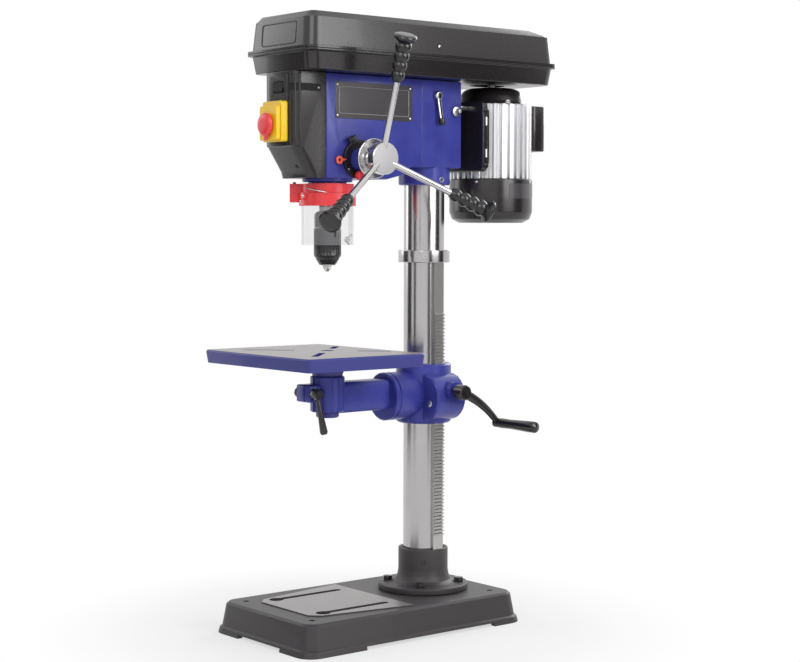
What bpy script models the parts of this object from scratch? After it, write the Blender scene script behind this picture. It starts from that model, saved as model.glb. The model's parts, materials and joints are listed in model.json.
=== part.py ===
"""Bench drill press: cast base, round column, rack-lift table, belt-drive head and motor.

Frame: metres, +Z up. The origin is where the spindle axis meets the machined top of the base.
+X is the operator's right (feed handle and crank side) and -Y is the front.
"""

import math

import bmesh
import bpy
from mathutils import Matrix, Vector

MM = 0.001

# ---------------------------------------------------------------- driving dimensions
GAP = 0.3 * MM                 # gap kept between pieces that seat on or fit in each other

# column and where it stands
COLUMN_DIAMETER = 73 * MM
COLUMN_WALL = 4 * MM
COLUMN_Y = 217 * MM            # from the spindle axis to the column axis
COLUMN_TOP = 845 * MM

# base casting
BASE_WIDTH = 286 * MM
BASE_FRONT = 147.5 * MM        # from the spindle axis forward
BASE_BACK = 338 * MM           # from the spindle axis backward
BASE_HEIGHT = 56.5 * MM
BASE_PAD = 2 * MM              # machined pad above the cast top
BASE_PLATE = 9 * MM
BASE_WALL = 9 * MM
BASE_LIP = 13 * MM             # height of the flared foot band
BASE_DRAFT = 15 * MM           # how far the sides lean in from foot to top
BASE_CORNER = 30 * MM
ARCH_HEIGHT = 6 * MM
PAD_FRONT = 92 * MM
PAD_BACK = 101 * MM
PAD_FRONT_HALF = 85 * MM
PAD_BACK_HALF = 114 * MM
PAD_NOTCH = 16 * MM
SLOT_X = 69 * MM
SLOT_FRONT = 61 * MM
SLOT_BACK = 80 * MM
SLOT_WIDTH = 13 * MM
SLOT_EYE = 25 * MM
HOLE_DIAMETER = 11 * MM
FRONT_HOLE = (98 * MM, -105 * MM)
BACK_HOLE = (97 * MM, 293 * MM)

# column flange
FLANGE_DIAMETER = 163 * MM
FLANGE_THICK = 11.5 * MM
SLEEVE_DIAMETER = 90 * MM
SLEEVE_TOP = 73.5 * MM
BOLT_CIRCLE = 130 * MM
BOLT_HOLE = 11 * MM

# rack and its collar
RACK_WIDTH = 22 * MM
RACK_THICK = 9.5 * MM
COLLAR_DIAMETER = 93 * MM
COLLAR_BOTTOM = 590.5 * MM
COLLAR_HEIGHT = 22 * MM
LIFT_MODULE = 2.0 * MM
LIFT_TEETH = 12
RACK_TOOTH_COUNT = 64

# table bracket on the column
BRACKET_BOTTOM = 302 * MM
BRACKET_TOP = 409 * MM
BRACKET_DIAMETER = 100 * MM
TILT_Z = 352.3 * MM            # tilt axis height
TILT_BOSS_DIAMETER = 86 * MM
TILT_FACE_Y = 132 * MM         # where arm flange and bracket boss meet
DRUM_DIAMETER = 84 * MM
DRUM_HALF = 33 * MM            # half length of the gear drum, along Y
DRUM_X = 39 * MM
DRUM_Z = 350 * MM
CRANK_RADIUS = 102 * MM
CRANK_DROP = math.radians(35.4)
CRANK_BOW = 6 * MM
CRANK_HUB_X = 100 * MM
CRANK_GRIP_LENGTH = 96 * MM
CRANK_GRIP_DIAMETER = 20 * MM
WORM_RADIUS = 8 * MM

# table, its post and arm
TABLE_WIDTH = 309 * MM
TABLE_FRONT = 153 * MM
TABLE_BACK = 95 * MM
TABLE_TOP = 439.5 * MM
TABLE_RIM = 23 * MM
TABLE_PLATE = 10 * MM
POST_Y = 0 * MM
POST_DIAMETER = 40 * MM
ARM_HUB_DIAMETER = 60 * MM
ARM_HUB_TOP = 395.6 * MM
ARM_HUB_BOTTOM = 333.5 * MM
ARM_HEIGHT = 54 * MM
ARM_WIDTH = 44 * MM
CLAMP_LEFT = 24 * MM           # the clamp ears in front of the arm's hub
CLAMP_RIGHT = 14 * MM
CLAMP_FRONT = 50 * MM
CLAMP_BOLT = 40 * MM
CLAMP_Z = 367 * MM
TABLE_SLOT_WIDTH = 12 * MM
TABLE_HOLE = 24 * MM

# head casting
HEAD_HALF = 47 * MM
HEAD_FRONT = -37.8 * MM        # where the casting ends and the front cover begins
HEAD_BACK = 265 * MM
HEAD_TOP = 914 * MM
HEAD_BOTTOM_FRONT = 736 * MM
HEAD_BOTTOM_BACK = 759 * MM
HEAD_WALL = 7 * MM
NECK_DIAMETER = 67 * MM
NECK_BOTTOM = 702 * MM
QUILL_BOSS_DIAMETER = 87 * MM
QUILL_BOSS_BOTTOM = 730.5 * MM
SOCKET_DIAMETER = 93 * MM
SOCKET_BOTTOM = 729 * MM
FEED_BOSS_DIAMETER = 40 * MM
FEED_BOSS_END = 84 * MM

# front cover
NOSE_FRONT = -103 * MM
NOSE_CORNER = 18 * MM
COVER_WALL = 3 * MM
CHIN_TOP = 788 * MM
CHIN_BOTTOM = 747 * MM
CHIN_BACK = 30 * MM
CHIN_STEP = 3 * MM

# quill, spindle and chuck
QUILL_DIAMETER = 42 * MM
QUILL_BOTTOM = 693 * MM
QUILL_TOP = 872 * MM
QUILL_TRAVEL = 80 * MM
QUILL_MODULE = 2.2 * MM
PINION_TEETH = 10
QUILL_TEETH = 16
SPINDLE_DIAMETER = 17 * MM
SPINDLE_NOSE_DIAMETER = 30 * MM
SPINDLE_TOP = 1000 * MM
BEARING_DIAMETER = 35 * MM
BEARING_HEIGHT = 11 * MM
CHUCK_DIAMETER = 47.4 * MM
CHUCK_TOP = 652 * MM            # top of the gripping sleeve
CHUCK_NOSE = 588 * MM
CHUCK_BODY_TOP = 680 * MM
JAW_TIP = 576.5 * MM
JAW_LENGTH = 34 * MM
JAW_TRAVEL = 23 * MM
JAW_SLOPE = math.radians(15)

# feed hub, spokes and grips
FEED_Z = 769 * MM
SPOKE_X = 113 * MM
SPOKE_TILT = math.radians(20.8)
SPOKE_START = math.radians(-3)
SPOKE_DIAMETER = 11 * MM
SPOKE_LENGTH = 140 * MM
GRIP_START = 134 * MM
GRIP_LENGTH = 81 * MM
GRIP_DISC = 40 * MM
HUB_FACE = 125 * MM
HUB_DIAMETER = 55 * MM
FLARE_DIAMETER = 69 * MM
DEPTH_RING_DIAMETER = 67 * MM
DEPTH_RING_THICK = 7 * MM

# chuck guard
GUARD_DIAMETER = 98.5 * MM
GUARD_COLLAR_BOTTOM = 712 * MM
GUARD_COLLAR_TOP = 727.5 * MM
GUARD_DRUM_BOTTOM = 689.5 * MM
SHIELD_BOTTOM = 622.5 * MM
SHIELD_WALL = 2 * MM
GUARD_START = 210              # degrees from +X where the guard's wall begins
GUARD_END = 452                # degrees where it ends, leaving the back-left side open
GUARD_HINGE_ANGLE = 231
GUARD_HINGE_RADIUS = 57 * MM
GUARD_PIN_DIAMETER = 6 * MM

# belt guard
PAN_WIDTH = 184 * MM
PAN_FRONT = -103 * MM
PAN_BACK = 455 * MM
PAN_FLOOR = 3 * MM
PAN_SLOPE = 4 * MM
FLANGE_OUT = 6 * MM            # rim of pan and lid beyond the pan side
RIM_Z = 948.5 * MM
RIM_THICK = 4 * MM
LID_SHOULDER = 1004 * MM
LID_TOP = 1011.5 * MM
LID_WALL = 2.5 * MM
GUARD_CORNER = 22 * MM

# belt drive
PULLEY_BOTTOM = 928 * MM
PULLEY_PITCH = 15 * MM
PULLEY_STEPS = 4
SPINDLE_PULLEY_RADII = (74 * MM, 62 * MM, 50 * MM, 38 * MM)
IDLER_PULLEY_RADII = (34 * MM, 44 * MM, 54 * MM, 64 * MM)
MOTOR_PULLEY_RADII = (56 * MM, 46 * MM, 36 * MM, 26 * MM)
IDLER_Y = 182 * MM
FRONT_BELT_STEP = 3
BACK_BELT_STEP = 1
BELT_HEIGHT = 5 * MM
BELT_WIDTH = 9 * MM
GROOVE_DEPTH = 7.5 * MM

# motor
MOTOR_Y = 378 * MM
MOTOR_DIAMETER = 150 * MM
MOTOR_BODY_BOTTOM = 742 * MM
MOTOR_BODY_TOP = 879 * MM
MOTOR_BELL_TOP = 911 * MM
FAN_COVER_DIAMETER = 154 * MM
FAN_COVER_BOTTOM = 662 * MM
MOTOR_SHAFT_DIAMETER = 14 * MM
FIN_COUNT = 30
FIN_DEPTH = 7 * MM
PLATE_HALF = 78 * MM
SADDLE_HALF = 54 * MM
PLATE_FRONT = 289 * MM
PLATE_THICK = 12 * MM
PLATE_BOTTOM = 754 * MM
PLATE_TOP = 880 * MM
ROD_DIAMETER = 14 * MM
ROD_X = 30 * MM
ROD_Z = 868 * MM
ROD_START = 150 * MM

# switch
SWITCH_HALF = 28 * MM
SWITCH_BOTTOM = 796 * MM
SWITCH_TOP = 864 * MM
SWITCH_DEPTH = 13 * MM
FLAP_THICK = 8 * MM
MUSHROOM_DIAMETER = 40 * MM
MUSHROOM_Z = 824.7 * MM
STOP_STEM = 12 * MM
BUTTON_DIAMETER = 14 * MM

# worked out from the above
FLOOR_Z = -BASE_HEIGHT
BASE_TOP = -BASE_PAD
COLUMN_RADIUS = COLUMN_DIAMETER / 2
FLANGE_TOP = BASE_TOP + FLANGE_THICK
LIFT_PITCH_RADIUS = LIFT_MODULE * LIFT_TEETH / 2
RACK_FACE = COLUMN_RADIUS + GAP + RACK_THICK
LIFT_GEAR_X = RACK_FACE - LIFT_MODULE + LIFT_PITCH_RADIUS + GAP
LIFT_GEAR_Z = DRUM_Z - 10 * MM
WORM_Z = LIFT_GEAR_Z + LIFT_PITCH_RADIUS + LIFT_MODULE + WORM_RADIUS + GAP
PINION_PITCH_RADIUS = QUILL_MODULE * PINION_TEETH / 2
FEED_Y = QUILL_DIAMETER / 2 - QUILL_MODULE + PINION_PITCH_RADIUS + GAP
PAN_BOTTOM = HEAD_TOP + GAP
TABLE_UNDER = TABLE_TOP - TABLE_PLATE

# ---------------------------------------------------------------- materials
MATERIALS = {
    "cast_dark": ((0.062, 0.055, 0.058), 0.55, 0.1),
    "ground_steel": ((0.47, 0.46, 0.45), 0.35, 0.9),
    "blue_paint": ((0.045, 0.055, 0.33), 0.35, 0.0),
    "black_plastic": ((0.035, 0.032, 0.034), 0.42, 0.0),
    "chrome": ((0.72, 0.72, 0.72), 0.14, 1.0),
    "steel": ((0.42, 0.42, 0.42), 0.32, 1.0),
    "aluminium": ((0.58, 0.59, 0.6), 0.38, 0.9),
    "red_plastic": ((0.78, 0.02, 0.035), 0.32, 0.0),
    "yellow_plastic": ((0.95, 0.5, 0.02), 0.38, 0.0),
    "green_plastic": ((0.02, 0.4, 0.08), 0.38, 0.0),
    "clear_plastic": ((0.85, 0.87, 0.9), 0.08, 0.0),
    "black_rubber": ((0.02, 0.02, 0.02), 0.6, 0.0),
    "black_grip": ((0.012, 0.012, 0.013), 0.18, 0.0),
    "bronze": ((0.45, 0.3, 0.12), 0.35, 0.9),
}


def material(name):
    """The Principled material of this name, made on first use."""
    found = bpy.data.materials.get(name)
    if found:
        return found
    colour, roughness, metallic = MATERIALS[name]
    made = bpy.data.materials.new(name)
    made.use_nodes = True
    shader = made.node_tree.nodes["Principled BSDF"]
    shader.inputs["Base Color"].default_value = (*colour, 1)
    shader.inputs["Roughness"].default_value = roughness
    shader.inputs["Metallic"].default_value = metallic
    made.diffuse_color = (*colour, 1)
    return made


# ---------------------------------------------------------------- modelling helpers
def object_from(name, bm, finish=None, smooth=True):
    """A scene object from a bmesh, with its faces turned outward."""
    bmesh.ops.recalc_face_normals(bm, faces=bm.faces)
    mesh = bpy.data.meshes.new(name)
    bm.to_mesh(mesh)
    bm.free()
    if smooth:
        mesh.shade_smooth()
        mesh.set_sharp_from_angle(angle=math.radians(35))
    made = bpy.data.objects.new(name, mesh)
    bpy.context.scene.collection.objects.link(made)
    if finish:
        mesh.materials.append(material(finish))
    return made


def skin(rings, closed_ends=True, loop=False):
    """A bmesh through rings of points; single-point rings are poles."""
    bm = bmesh.new()
    made = [[bm.verts.new(p) for p in ring] for ring in rings]
    pairs = list(zip(made, made[1:]))
    if loop:
        pairs.append((made[-1], made[0]))
    for low, high in pairs:
        count = max(len(low), len(high))
        if count == 1:
            continue
        for i in range(count):
            j = (i + 1) % count
            if len(low) == 1:
                bm.faces.new((low[0], high[j], high[i]))
            elif len(high) == 1:
                bm.faces.new((low[i], low[j], high[0]))
            else:
                bm.faces.new((low[i], low[j], high[j], high[i]))
    if closed_ends and not loop:
        for ring in (made[0], made[-1]):
            if len(ring) > 2:
                bm.faces.new(ring)
    return bm


def axis_frame(axis):
    """Rotation that turns +Z to the axis, with +X kept level where it can be."""
    axis = Vector(axis).normalized()
    if abs(axis.z) > 0.999:
        return Matrix.Identity(3) if axis.z > 0 else Matrix.Rotation(math.pi, 3, "X")
    side = Vector((0, 0, 1)).cross(axis).normalized()
    return Matrix((side, axis.cross(side), axis)).transposed()


def turned(name, profile, at, axis=(0, 0, 1), sides=20, finish=None, ring=False, start=0.0):
    """A solid turned about an axis from (radius, height) points; ring joins last to first."""
    frame = axis_frame(axis)
    at = Vector(at)
    rings = []
    for radius, height in profile:
        if radius == 0:
            rings.append([at + frame @ Vector((0, 0, height))])
            continue
        rings.append([
            at + frame @ Vector((radius * math.cos(a), radius * math.sin(a), height))
            for a in (start + 2 * math.pi * i / sides for i in range(sides))
        ])
    return object_from(name, skin(rings, loop=ring), finish)


def rod(name, diameter, start, end, sides=16, finish=None, bevel=0.0):
    """A round bar between two points, its ends chamfered by bevel."""
    start, end = Vector(start), Vector(end)
    length = (end - start).length
    radius = diameter / 2
    profile = [(radius, 0), (radius, length)]
    if bevel:
        profile = [(radius - bevel, 0), (radius, bevel), (radius, length - bevel), (radius - bevel, length)]
    return turned(name, profile, start, end - start, sides, finish)


def tube(name, outer, inner, start, end, sides=20, finish=None):
    """A round tube between two points."""
    start, end = Vector(start), Vector(end)
    length = (end - start).length
    profile = [(outer / 2, 0), (outer / 2, length), (inner / 2, length), (inner / 2, 0)]
    return turned(name, profile, start, end - start, sides, finish, ring=True)


def prism(name, outline, low, high, axis="Z", finish=None, smooth=False):
    """An outline of two coordinates carried from low to high along the axis.

    Along Z the outline is (x, y), along X it is (y, z) and along Y it is (x, z).
    """
    place = {
        "Z": lambda p, t: (p[0], p[1], t),
        "X": lambda p, t: (t, p[0], p[1]),
        "Y": lambda p, t: (p[0], t, p[1]),
    }[axis]
    return object_from(name, skin([[place(p, t) for p in outline] for t in (low, high)]), finish, smooth)


def loft(name, levels, finish=None, smooth=False):
    """A solid through level outlines given as (outline, z)."""
    return object_from(name, skin([[(x, y, z) for x, y in outline] for outline, z in levels]), finish, smooth)


def block(name, x, y, z, finish=None):
    """A box from (low, high) pairs."""
    return prism(name, [(x[0], y[0]), (x[1], y[0]), (x[1], y[1]), (x[0], y[1])], z[0], z[1], "Z", finish)


def rounded(x0, x1, y0, y1, radius, steps=5):
    """The outline of a rectangle with round corners, anticlockwise."""
    points = []
    corners = ((x1, y1, 0), (x0, y1, 1), (x0, y0, 2), (x1, y0, 3))
    for cx, cy, quarter in corners:
        centre_x = cx - radius if cx == x1 else cx + radius
        centre_y = cy - radius if cy == y1 else cy + radius
        for i in range(steps + 1):
            a = math.pi / 2 * (quarter + i / steps)
            points.append((centre_x + radius * math.cos(a), centre_y + radius * math.sin(a)))
    return points


def arc(cx, cy, radius, start, end, steps):
    """Points on an arc, angles in degrees."""
    return [
        (cx + radius * math.cos(math.radians(start + (end - start) * i / steps)),
         cy + radius * math.sin(math.radians(start + (end - start) * i / steps)))
        for i in range(steps + 1)
    ]


def combine(target, operation, tools):
    """Boolean modifiers that join tools to the target or cut them from it."""
    for tool in tools:
        tool.hide_render = True
        tool.display_type = "WIRE"
        modifier = target.modifiers.new(operation.title(), "BOOLEAN")
        modifier.operation = operation
        modifier.object = tool
        modifier.solver = "EXACT"
    return target


def join(target, *tools):
    return combine(target, "UNION", tools)


def cut(target, *tools):
    return combine(target, "DIFFERENCE", tools)


def soften(target, width, segments=2, angle=40):
    """A Bevel modifier on the sharp edges."""
    modifier = target.modifiers.new("Bevel", "BEVEL")
    modifier.width = width
    modifier.segments = segments
    modifier.limit_method = "ANGLE"
    modifier.angle_limit = math.radians(angle)
    return target


def gear_outline(teeth, module, thin, phase):
    """Tooth outline as angle and radius pairs: straight-flanked teeth made thin by a share of the pitch."""
    pitch_radius = module * teeth / 2
    root = pitch_radius - 1.25 * module
    tip = pitch_radius + 0.9 * module
    step = 2 * math.pi / teeth
    points = []
    for i in range(teeth):
        middle = phase + i * step
        for radius, share in ((root, -0.36), (tip, -0.13 + thin), (tip, 0.13 - thin), (root, 0.36)):
            a = middle + share * step
            points.append((radius * math.cos(a), radius * math.sin(a)))
    return points


def rack_outline(face, depth_dir, first, count, module, back, low, high):
    """Rack outline as (depth, height): teeth centred on first + i * pitch between low and high."""
    pitch = math.pi * module
    root = face - depth_dir * 2.15 * module
    points = [(back, low), (root, low)]
    for i in range(count):
        middle = first + i * pitch
        for offset, depth in ((-0.36, root), (-0.14, face), (0.14, face), (0.36, root)):
            points.append((depth, middle + offset * pitch))
    points += [(root, high), (back, high)]
    return points


# ---------------------------------------------------------------- base, column and rack
def base_outline(inset, corner):
    half = BASE_WIDTH / 2 - inset
    return rounded(-half, half, -BASE_FRONT + inset, BASE_BACK - inset, corner)


def make_base():
    """Cast base: flared foot band, drafted sides, hollow underneath, machined pad with two slots."""
    base = loft("base", [
        (base_outline(0, BASE_CORNER), FLOOR_Z),
        (base_outline(2 * MM, BASE_CORNER), FLOOR_Z + BASE_LIP - 3 * MM),
        (base_outline(6 * MM, BASE_CORNER - 3 * MM), FLOOR_Z + BASE_LIP),
        (base_outline(BASE_DRAFT - 3 * MM, BASE_CORNER - 6 * MM), BASE_TOP - 4 * MM),
        (base_outline(BASE_DRAFT + 1 * MM, BASE_CORNER - 8 * MM), BASE_TOP),
    ], "cast_dark")
    hollow = loft("base_hollow", [
        (base_outline(BASE_WALL, BASE_CORNER - 8 * MM), FLOOR_Z - 5 * MM),
        (base_outline(BASE_WALL + BASE_DRAFT, BASE_CORNER - 12 * MM), BASE_TOP - BASE_PLATE),
    ])
    side_arch = block("base_side_arch", (-BASE_WIDTH, BASE_WIDTH), (-22 * MM, 266 * MM),
                      (FLOOR_Z - 5 * MM, FLOOR_Z + ARCH_HEIGHT))
    end_arch = block("base_end_arch", (-62 * MM, 62 * MM), (-2 * BASE_FRONT, 2 * BASE_BACK),
                     (FLOOR_Z - 5 * MM, FLOOR_Z + ARCH_HEIGHT))
    pad = prism("base_pad", [
        (-PAD_FRONT_HALF + PAD_NOTCH, -PAD_FRONT), (PAD_FRONT_HALF - PAD_NOTCH, -PAD_FRONT),
        (PAD_FRONT_HALF, -PAD_FRONT + PAD_NOTCH), (PAD_BACK_HALF, PAD_BACK),
        (-PAD_BACK_HALF, PAD_BACK), (-PAD_FRONT_HALF, -PAD_FRONT + PAD_NOTCH),
    ], BASE_TOP - 3 * MM, 0)
    join(base, pad)
    cut(base, hollow, side_arch, end_arch)
    below = BASE_TOP - BASE_PLATE - 5 * MM
    for side in (-1, 1):
        x = side * SLOT_X
        slot = prism(f"base_slot_{side}", arc(x, -SLOT_FRONT, SLOT_EYE / 2, 150, 390, 12)
                     + [(x + SLOT_WIDTH / 2, -SLOT_FRONT + SLOT_EYE / 2)]
                     + arc(x, SLOT_BACK - SLOT_WIDTH / 2, SLOT_WIDTH / 2, 0, 180, 6)
                     + [(x - SLOT_WIDTH / 2, -SLOT_FRONT + SLOT_EYE / 2)], below, 5 * MM)
        cut(base, slot)
        for i, (hx, hy) in enumerate((FRONT_HOLE, BACK_HOLE)):
            cut(base, rod(f"base_hole_{side}_{i}", HOLE_DIAMETER, (side * hx, hy, below), (side * hx, hy, 5 * MM), 10))
    for i in range(4):
        a = math.radians(45 + 90 * i)
        x, y = BOLT_CIRCLE / 2 * math.cos(a), COLUMN_Y + BOLT_CIRCLE / 2 * math.sin(a)
        cut(base, rod(f"base_bolt_hole_{i}", BOLT_HOLE, (x, y, below), (x, y, 5 * MM), 12))
    return base


def make_column_flange():
    """Cast flange: disc bolted to the base, with a sleeve that grips the column."""
    low, top = BASE_TOP + GAP, FLANGE_TOP
    outer, sleeve = FLANGE_DIAMETER / 2, SLEEVE_DIAMETER / 2
    bore = COLUMN_RADIUS + GAP
    flange = turned("column_flange", [
        (outer, low), (outer, top - 3 * MM), (outer - 3 * MM, top), (sleeve + 14 * MM, top + 2 * MM),
        (sleeve + 5 * MM, top + 7 * MM), (sleeve + 1.5 * MM, top + 16 * MM), (sleeve, top + 26 * MM),
        (sleeve, SLEEVE_TOP - 2 * MM), (sleeve - 2 * MM, SLEEVE_TOP), (bore, SLEEVE_TOP), (bore, low),
    ], (0, COLUMN_Y, 0), sides=26, finish="cast_dark", ring=True)
    for i in range(4):
        a = math.radians(45 + 90 * i)
        x, y = BOLT_CIRCLE / 2 * math.cos(a), COLUMN_Y + BOLT_CIRCLE / 2 * math.sin(a)
        cut(flange, rod(f"flange_hole_{i}", BOLT_HOLE, (x, y, low - 5 * MM), (x, y, top + 30 * MM), 12))
    return flange


def make_column():
    """Ground steel tube, standing on the base inside the flange."""
    return tube("column", COLUMN_DIAMETER, COLUMN_DIAMETER - 2 * COLUMN_WALL,
                (0, COLUMN_Y, BASE_TOP + GAP), (0, COLUMN_Y, COLUMN_TOP), 32, "chrome")


def make_rack():
    """Toothed bar lying on the right side of the column, between sleeve and collar."""
    low, high = SLEEVE_TOP + GAP, COLLAR_BOTTOM - GAP
    first = LIFT_GEAR_Z - math.pi * LIFT_MODULE * 38
    rack = prism("rack", rack_outline(RACK_FACE, 1, first, RACK_TOOTH_COUNT, LIFT_MODULE,
                                      COLUMN_RADIUS - 4 * MM, low, high),
                 -RACK_WIDTH / 2, RACK_WIDTH / 2, "Y", "steel")
    rack.location.y = COLUMN_Y
    hollow = rod("rack_hollow", 2 * (COLUMN_RADIUS + GAP), (0, COLUMN_Y, low - 5 * MM), (0, COLUMN_Y, high + 5 * MM), 72)
    return cut(rack, hollow)


def make_rack_collar():
    """Ring that holds the top end of the rack against the column."""
    bore = COLUMN_RADIUS + GAP
    outer = COLLAR_DIAMETER / 2
    top = COLLAR_BOTTOM + COLLAR_HEIGHT
    return turned("rack_collar", [
        (outer - 1.5 * MM, COLLAR_BOTTOM), (outer, COLLAR_BOTTOM + 1.5 * MM), (outer, top - 1.5 * MM),
        (outer - 1.5 * MM, top), (bore, top), (bore, COLLAR_BOTTOM),
    ], (0, COLUMN_Y, 0), sides=26, finish="chrome", ring=True)


# ---------------------------------------------------------------- table bracket and lift
def make_table_bracket():
    """Casting that slides on the column: sleeve, tilt boss at the front and gear drum on the right."""
    sleeve = BRACKET_DIAMETER / 2
    bracket = turned("table_bracket", [
        (sleeve - 3 * MM, BRACKET_BOTTOM), (sleeve, BRACKET_BOTTOM + 3 * MM), (sleeve, BRACKET_TOP - 3 * MM),
        (sleeve - 3 * MM, BRACKET_TOP),
    ], (0, COLUMN_Y, 0), sides=26, finish="blue_paint")
    boss = rod("bracket_boss", TILT_BOSS_DIAMETER, (0, TILT_FACE_Y + GAP, TILT_Z), (0, COLUMN_Y, TILT_Z), 24, bevel=2 * MM)
    drum = rod("bracket_drum", DRUM_DIAMETER, (DRUM_X, COLUMN_Y - DRUM_HALF, DRUM_Z),
               (DRUM_X, COLUMN_Y + DRUM_HALF, DRUM_Z), 24, bevel=3 * MM)
    snout = rod("bracket_snout", 34 * MM, (DRUM_X, COLUMN_Y, WORM_Z), (DRUM_X + 50 * MM, COLUMN_Y, WORM_Z), 16)
    ear = block("bracket_ear", (-13 * MM, 13 * MM), (COLUMN_Y + 40 * MM, COLUMN_Y + 72 * MM),
                (BRACKET_BOTTOM + 20 * MM, BRACKET_BOTTOM + 80 * MM))
    join(bracket, boss, drum, snout, ear)
    bore = rod("bracket_bore", 2 * (COLUMN_RADIUS + GAP), (0, COLUMN_Y, BRACKET_BOTTOM - 9 * MM),
               (0, COLUMN_Y, BRACKET_TOP + 9 * MM), 32)
    groove = block("bracket_rack_groove", (20 * MM, RACK_FACE + GAP),
                   (COLUMN_Y - RACK_WIDTH / 2 - GAP, COLUMN_Y + RACK_WIDTH / 2 + GAP),
                   (BRACKET_BOTTOM - 9 * MM, BRACKET_TOP + 9 * MM))
    gear_room = rod("bracket_gear_room", 2 * (LIFT_PITCH_RADIUS + LIFT_MODULE + 1.5 * MM),
                    (LIFT_GEAR_X, COLUMN_Y - RACK_WIDTH / 2 - GAP, LIFT_GEAR_Z),
                    (LIFT_GEAR_X, COLUMN_Y + RACK_WIDTH / 2 + GAP, LIFT_GEAR_Z), 16)
    worm_room = rod("bracket_worm_room", 2 * (WORM_RADIUS + 1 * MM), (DRUM_X + 9 * MM, COLUMN_Y, WORM_Z),
                    (DRUM_X + 31 * MM, COLUMN_Y, WORM_Z), 12)
    shaft_hole = rod("bracket_shaft_hole", 12 * MM + 2 * GAP, (DRUM_X + 20 * MM, COLUMN_Y, WORM_Z),
                     (DRUM_X + 70 * MM, COLUMN_Y, WORM_Z), 12)
    pin_hole = rod("bracket_pin_hole", 8 * MM + 2 * GAP, (LIFT_GEAR_X, COLUMN_Y - DRUM_HALF - 5 * MM, LIFT_GEAR_Z),
                   (LIFT_GEAR_X, COLUMN_Y + DRUM_HALF - 4 * MM, LIFT_GEAR_Z), 10)
    split = block("bracket_split", (-1.5 * MM, 1.5 * MM), (COLUMN_Y + 20 * MM, COLUMN_Y + 90 * MM),
                  (BRACKET_BOTTOM - 9 * MM, BRACKET_TOP + 9 * MM))
    lock_hole = rod("bracket_lock_hole", 10 * MM + 2 * GAP, (-30 * MM, COLUMN_Y + 60 * MM, BRACKET_BOTTOM + 50 * MM),
                    (30 * MM, COLUMN_Y + 60 * MM, BRACKET_BOTTOM + 50 * MM), 10)
    tilt_hole = rod("bracket_tilt_hole", 16 * MM + 2 * GAP, (0, TILT_FACE_Y - 9 * MM, TILT_Z),
                    (0, COLUMN_Y - COLUMN_RADIUS - 8 * MM, TILT_Z), 12)
    return cut(bracket, bore, groove, gear_room, worm_room, shaft_hole, pin_hole, split, lock_hole, tilt_hole)


def make_lift_gear():
    """Pinion on its pin, in mesh with the rack; the worm turns it."""
    half = RACK_WIDTH / 2 - 1 * MM
    outline = gear_outline(LIFT_TEETH, LIFT_MODULE, 0.02, math.pi / LIFT_TEETH)
    gear = prism("lift_gear", outline, -half, half, "Y", "steel")
    gear.location = (LIFT_GEAR_X, COLUMN_Y, LIFT_GEAR_Z)
    pin = rod("lift_gear_pin", 8 * MM, (0, -DRUM_HALF, 0), (0, DRUM_HALF - 5 * MM, 0), 12)
    pin.parent = gear
    return join(gear, pin)


def make_crank():
    """Crank: worm shaft, hub and curved arm in one forging, turning about X."""
    hub_start = CRANK_HUB_X - DRUM_X - 12.5 * MM
    shaft = turned("crank", [
        (WORM_RADIUS - 2 * MM, 0), (WORM_RADIUS, 2 * MM), (WORM_RADIUS, 20 * MM), (6 * MM, 21 * MM),
        (6 * MM, hub_start), (13.5 * MM, hub_start), (13.5 * MM, hub_start + 19 * MM), (11.5 * MM, hub_start + 21 * MM),
        (6 * MM, hub_start + 21 * MM), (6 * MM, hub_start + 24 * MM),
    ], (DRUM_X + 9.5 * MM, COLUMN_Y, WORM_Z), (1, 0, 0), 16, "black_plastic")
    path = []
    steps = 9
    for i in range(steps + 1):
        t = i / steps
        bow = CRANK_BOW * math.sin(math.pi * t)
        along = CRANK_RADIUS * t
        path.append((along, bow))
    rings = []
    for i, (along, bow) in enumerate(path):
        slope = math.cos(math.pi * i / steps) * CRANK_BOW * math.pi / CRANK_RADIUS
        normal = Vector((-slope, 1)).normalized()
        half = (9 - 3.2 * i / steps) * MM
        ring = []
        for k in range(10):
            a = 2 * math.pi * k / 10
            side = half * math.cos(a)
            x = CRANK_HUB_X + 9 * MM + 5 * MM * math.sin(a)
            u, v = along + normal.x * side, bow + normal.y * side
            y = COLUMN_Y + u * math.cos(CRANK_DROP) + v * math.sin(CRANK_DROP)
            z = WORM_Z - u * math.sin(CRANK_DROP) + v * math.cos(CRANK_DROP)
            ring.append((x, y, z))
        rings.append(ring)
    arm = object_from("crank_arm_shape", skin(rings))
    end = crank_grip_centre()
    eye = rod("crank_eye", 17 * MM, (CRANK_HUB_X + 3 * MM, end[0], end[1]), (CRANK_HUB_X + 15 * MM, end[0], end[1]), 12)
    pin = rod("crank_pin", 8 * MM, (CRANK_HUB_X + 8 * MM, end[0], end[1]),
              (CRANK_HUB_X + 15 * MM + CRANK_GRIP_LENGTH - 8 * MM, end[0], end[1]), 12)
    return join(shaft, arm, eye, pin)


def crank_grip_centre():
    """(y, z) of the crank grip's axis."""
    return (COLUMN_Y + CRANK_RADIUS * math.cos(CRANK_DROP), WORM_Z - CRANK_RADIUS * math.sin(CRANK_DROP))


def make_crank_grip():
    """Grip that spins on the crank's pin."""
    radius = CRANK_GRIP_DIAMETER / 2
    bore = 4 * MM + GAP
    length = CRANK_GRIP_LENGTH
    y, z = crank_grip_centre()
    return turned("crank_grip", [
        (bore, 0), (radius - 3 * MM, 0), (radius - 1 * MM, 2 * MM), (radius - 0.6 * MM, 0.3 * length),
        (radius, 0.7 * length), (radius - 0.4 * MM, length - 4 * MM), (radius - 3 * MM, length), (0, length),
        (0, length - 5 * MM), (bore, length - 5 * MM),
    ], (CRANK_HUB_X + 15 * MM + GAP, y, z), (1, 0, 0), 12, "black_grip", ring=True)


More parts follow.
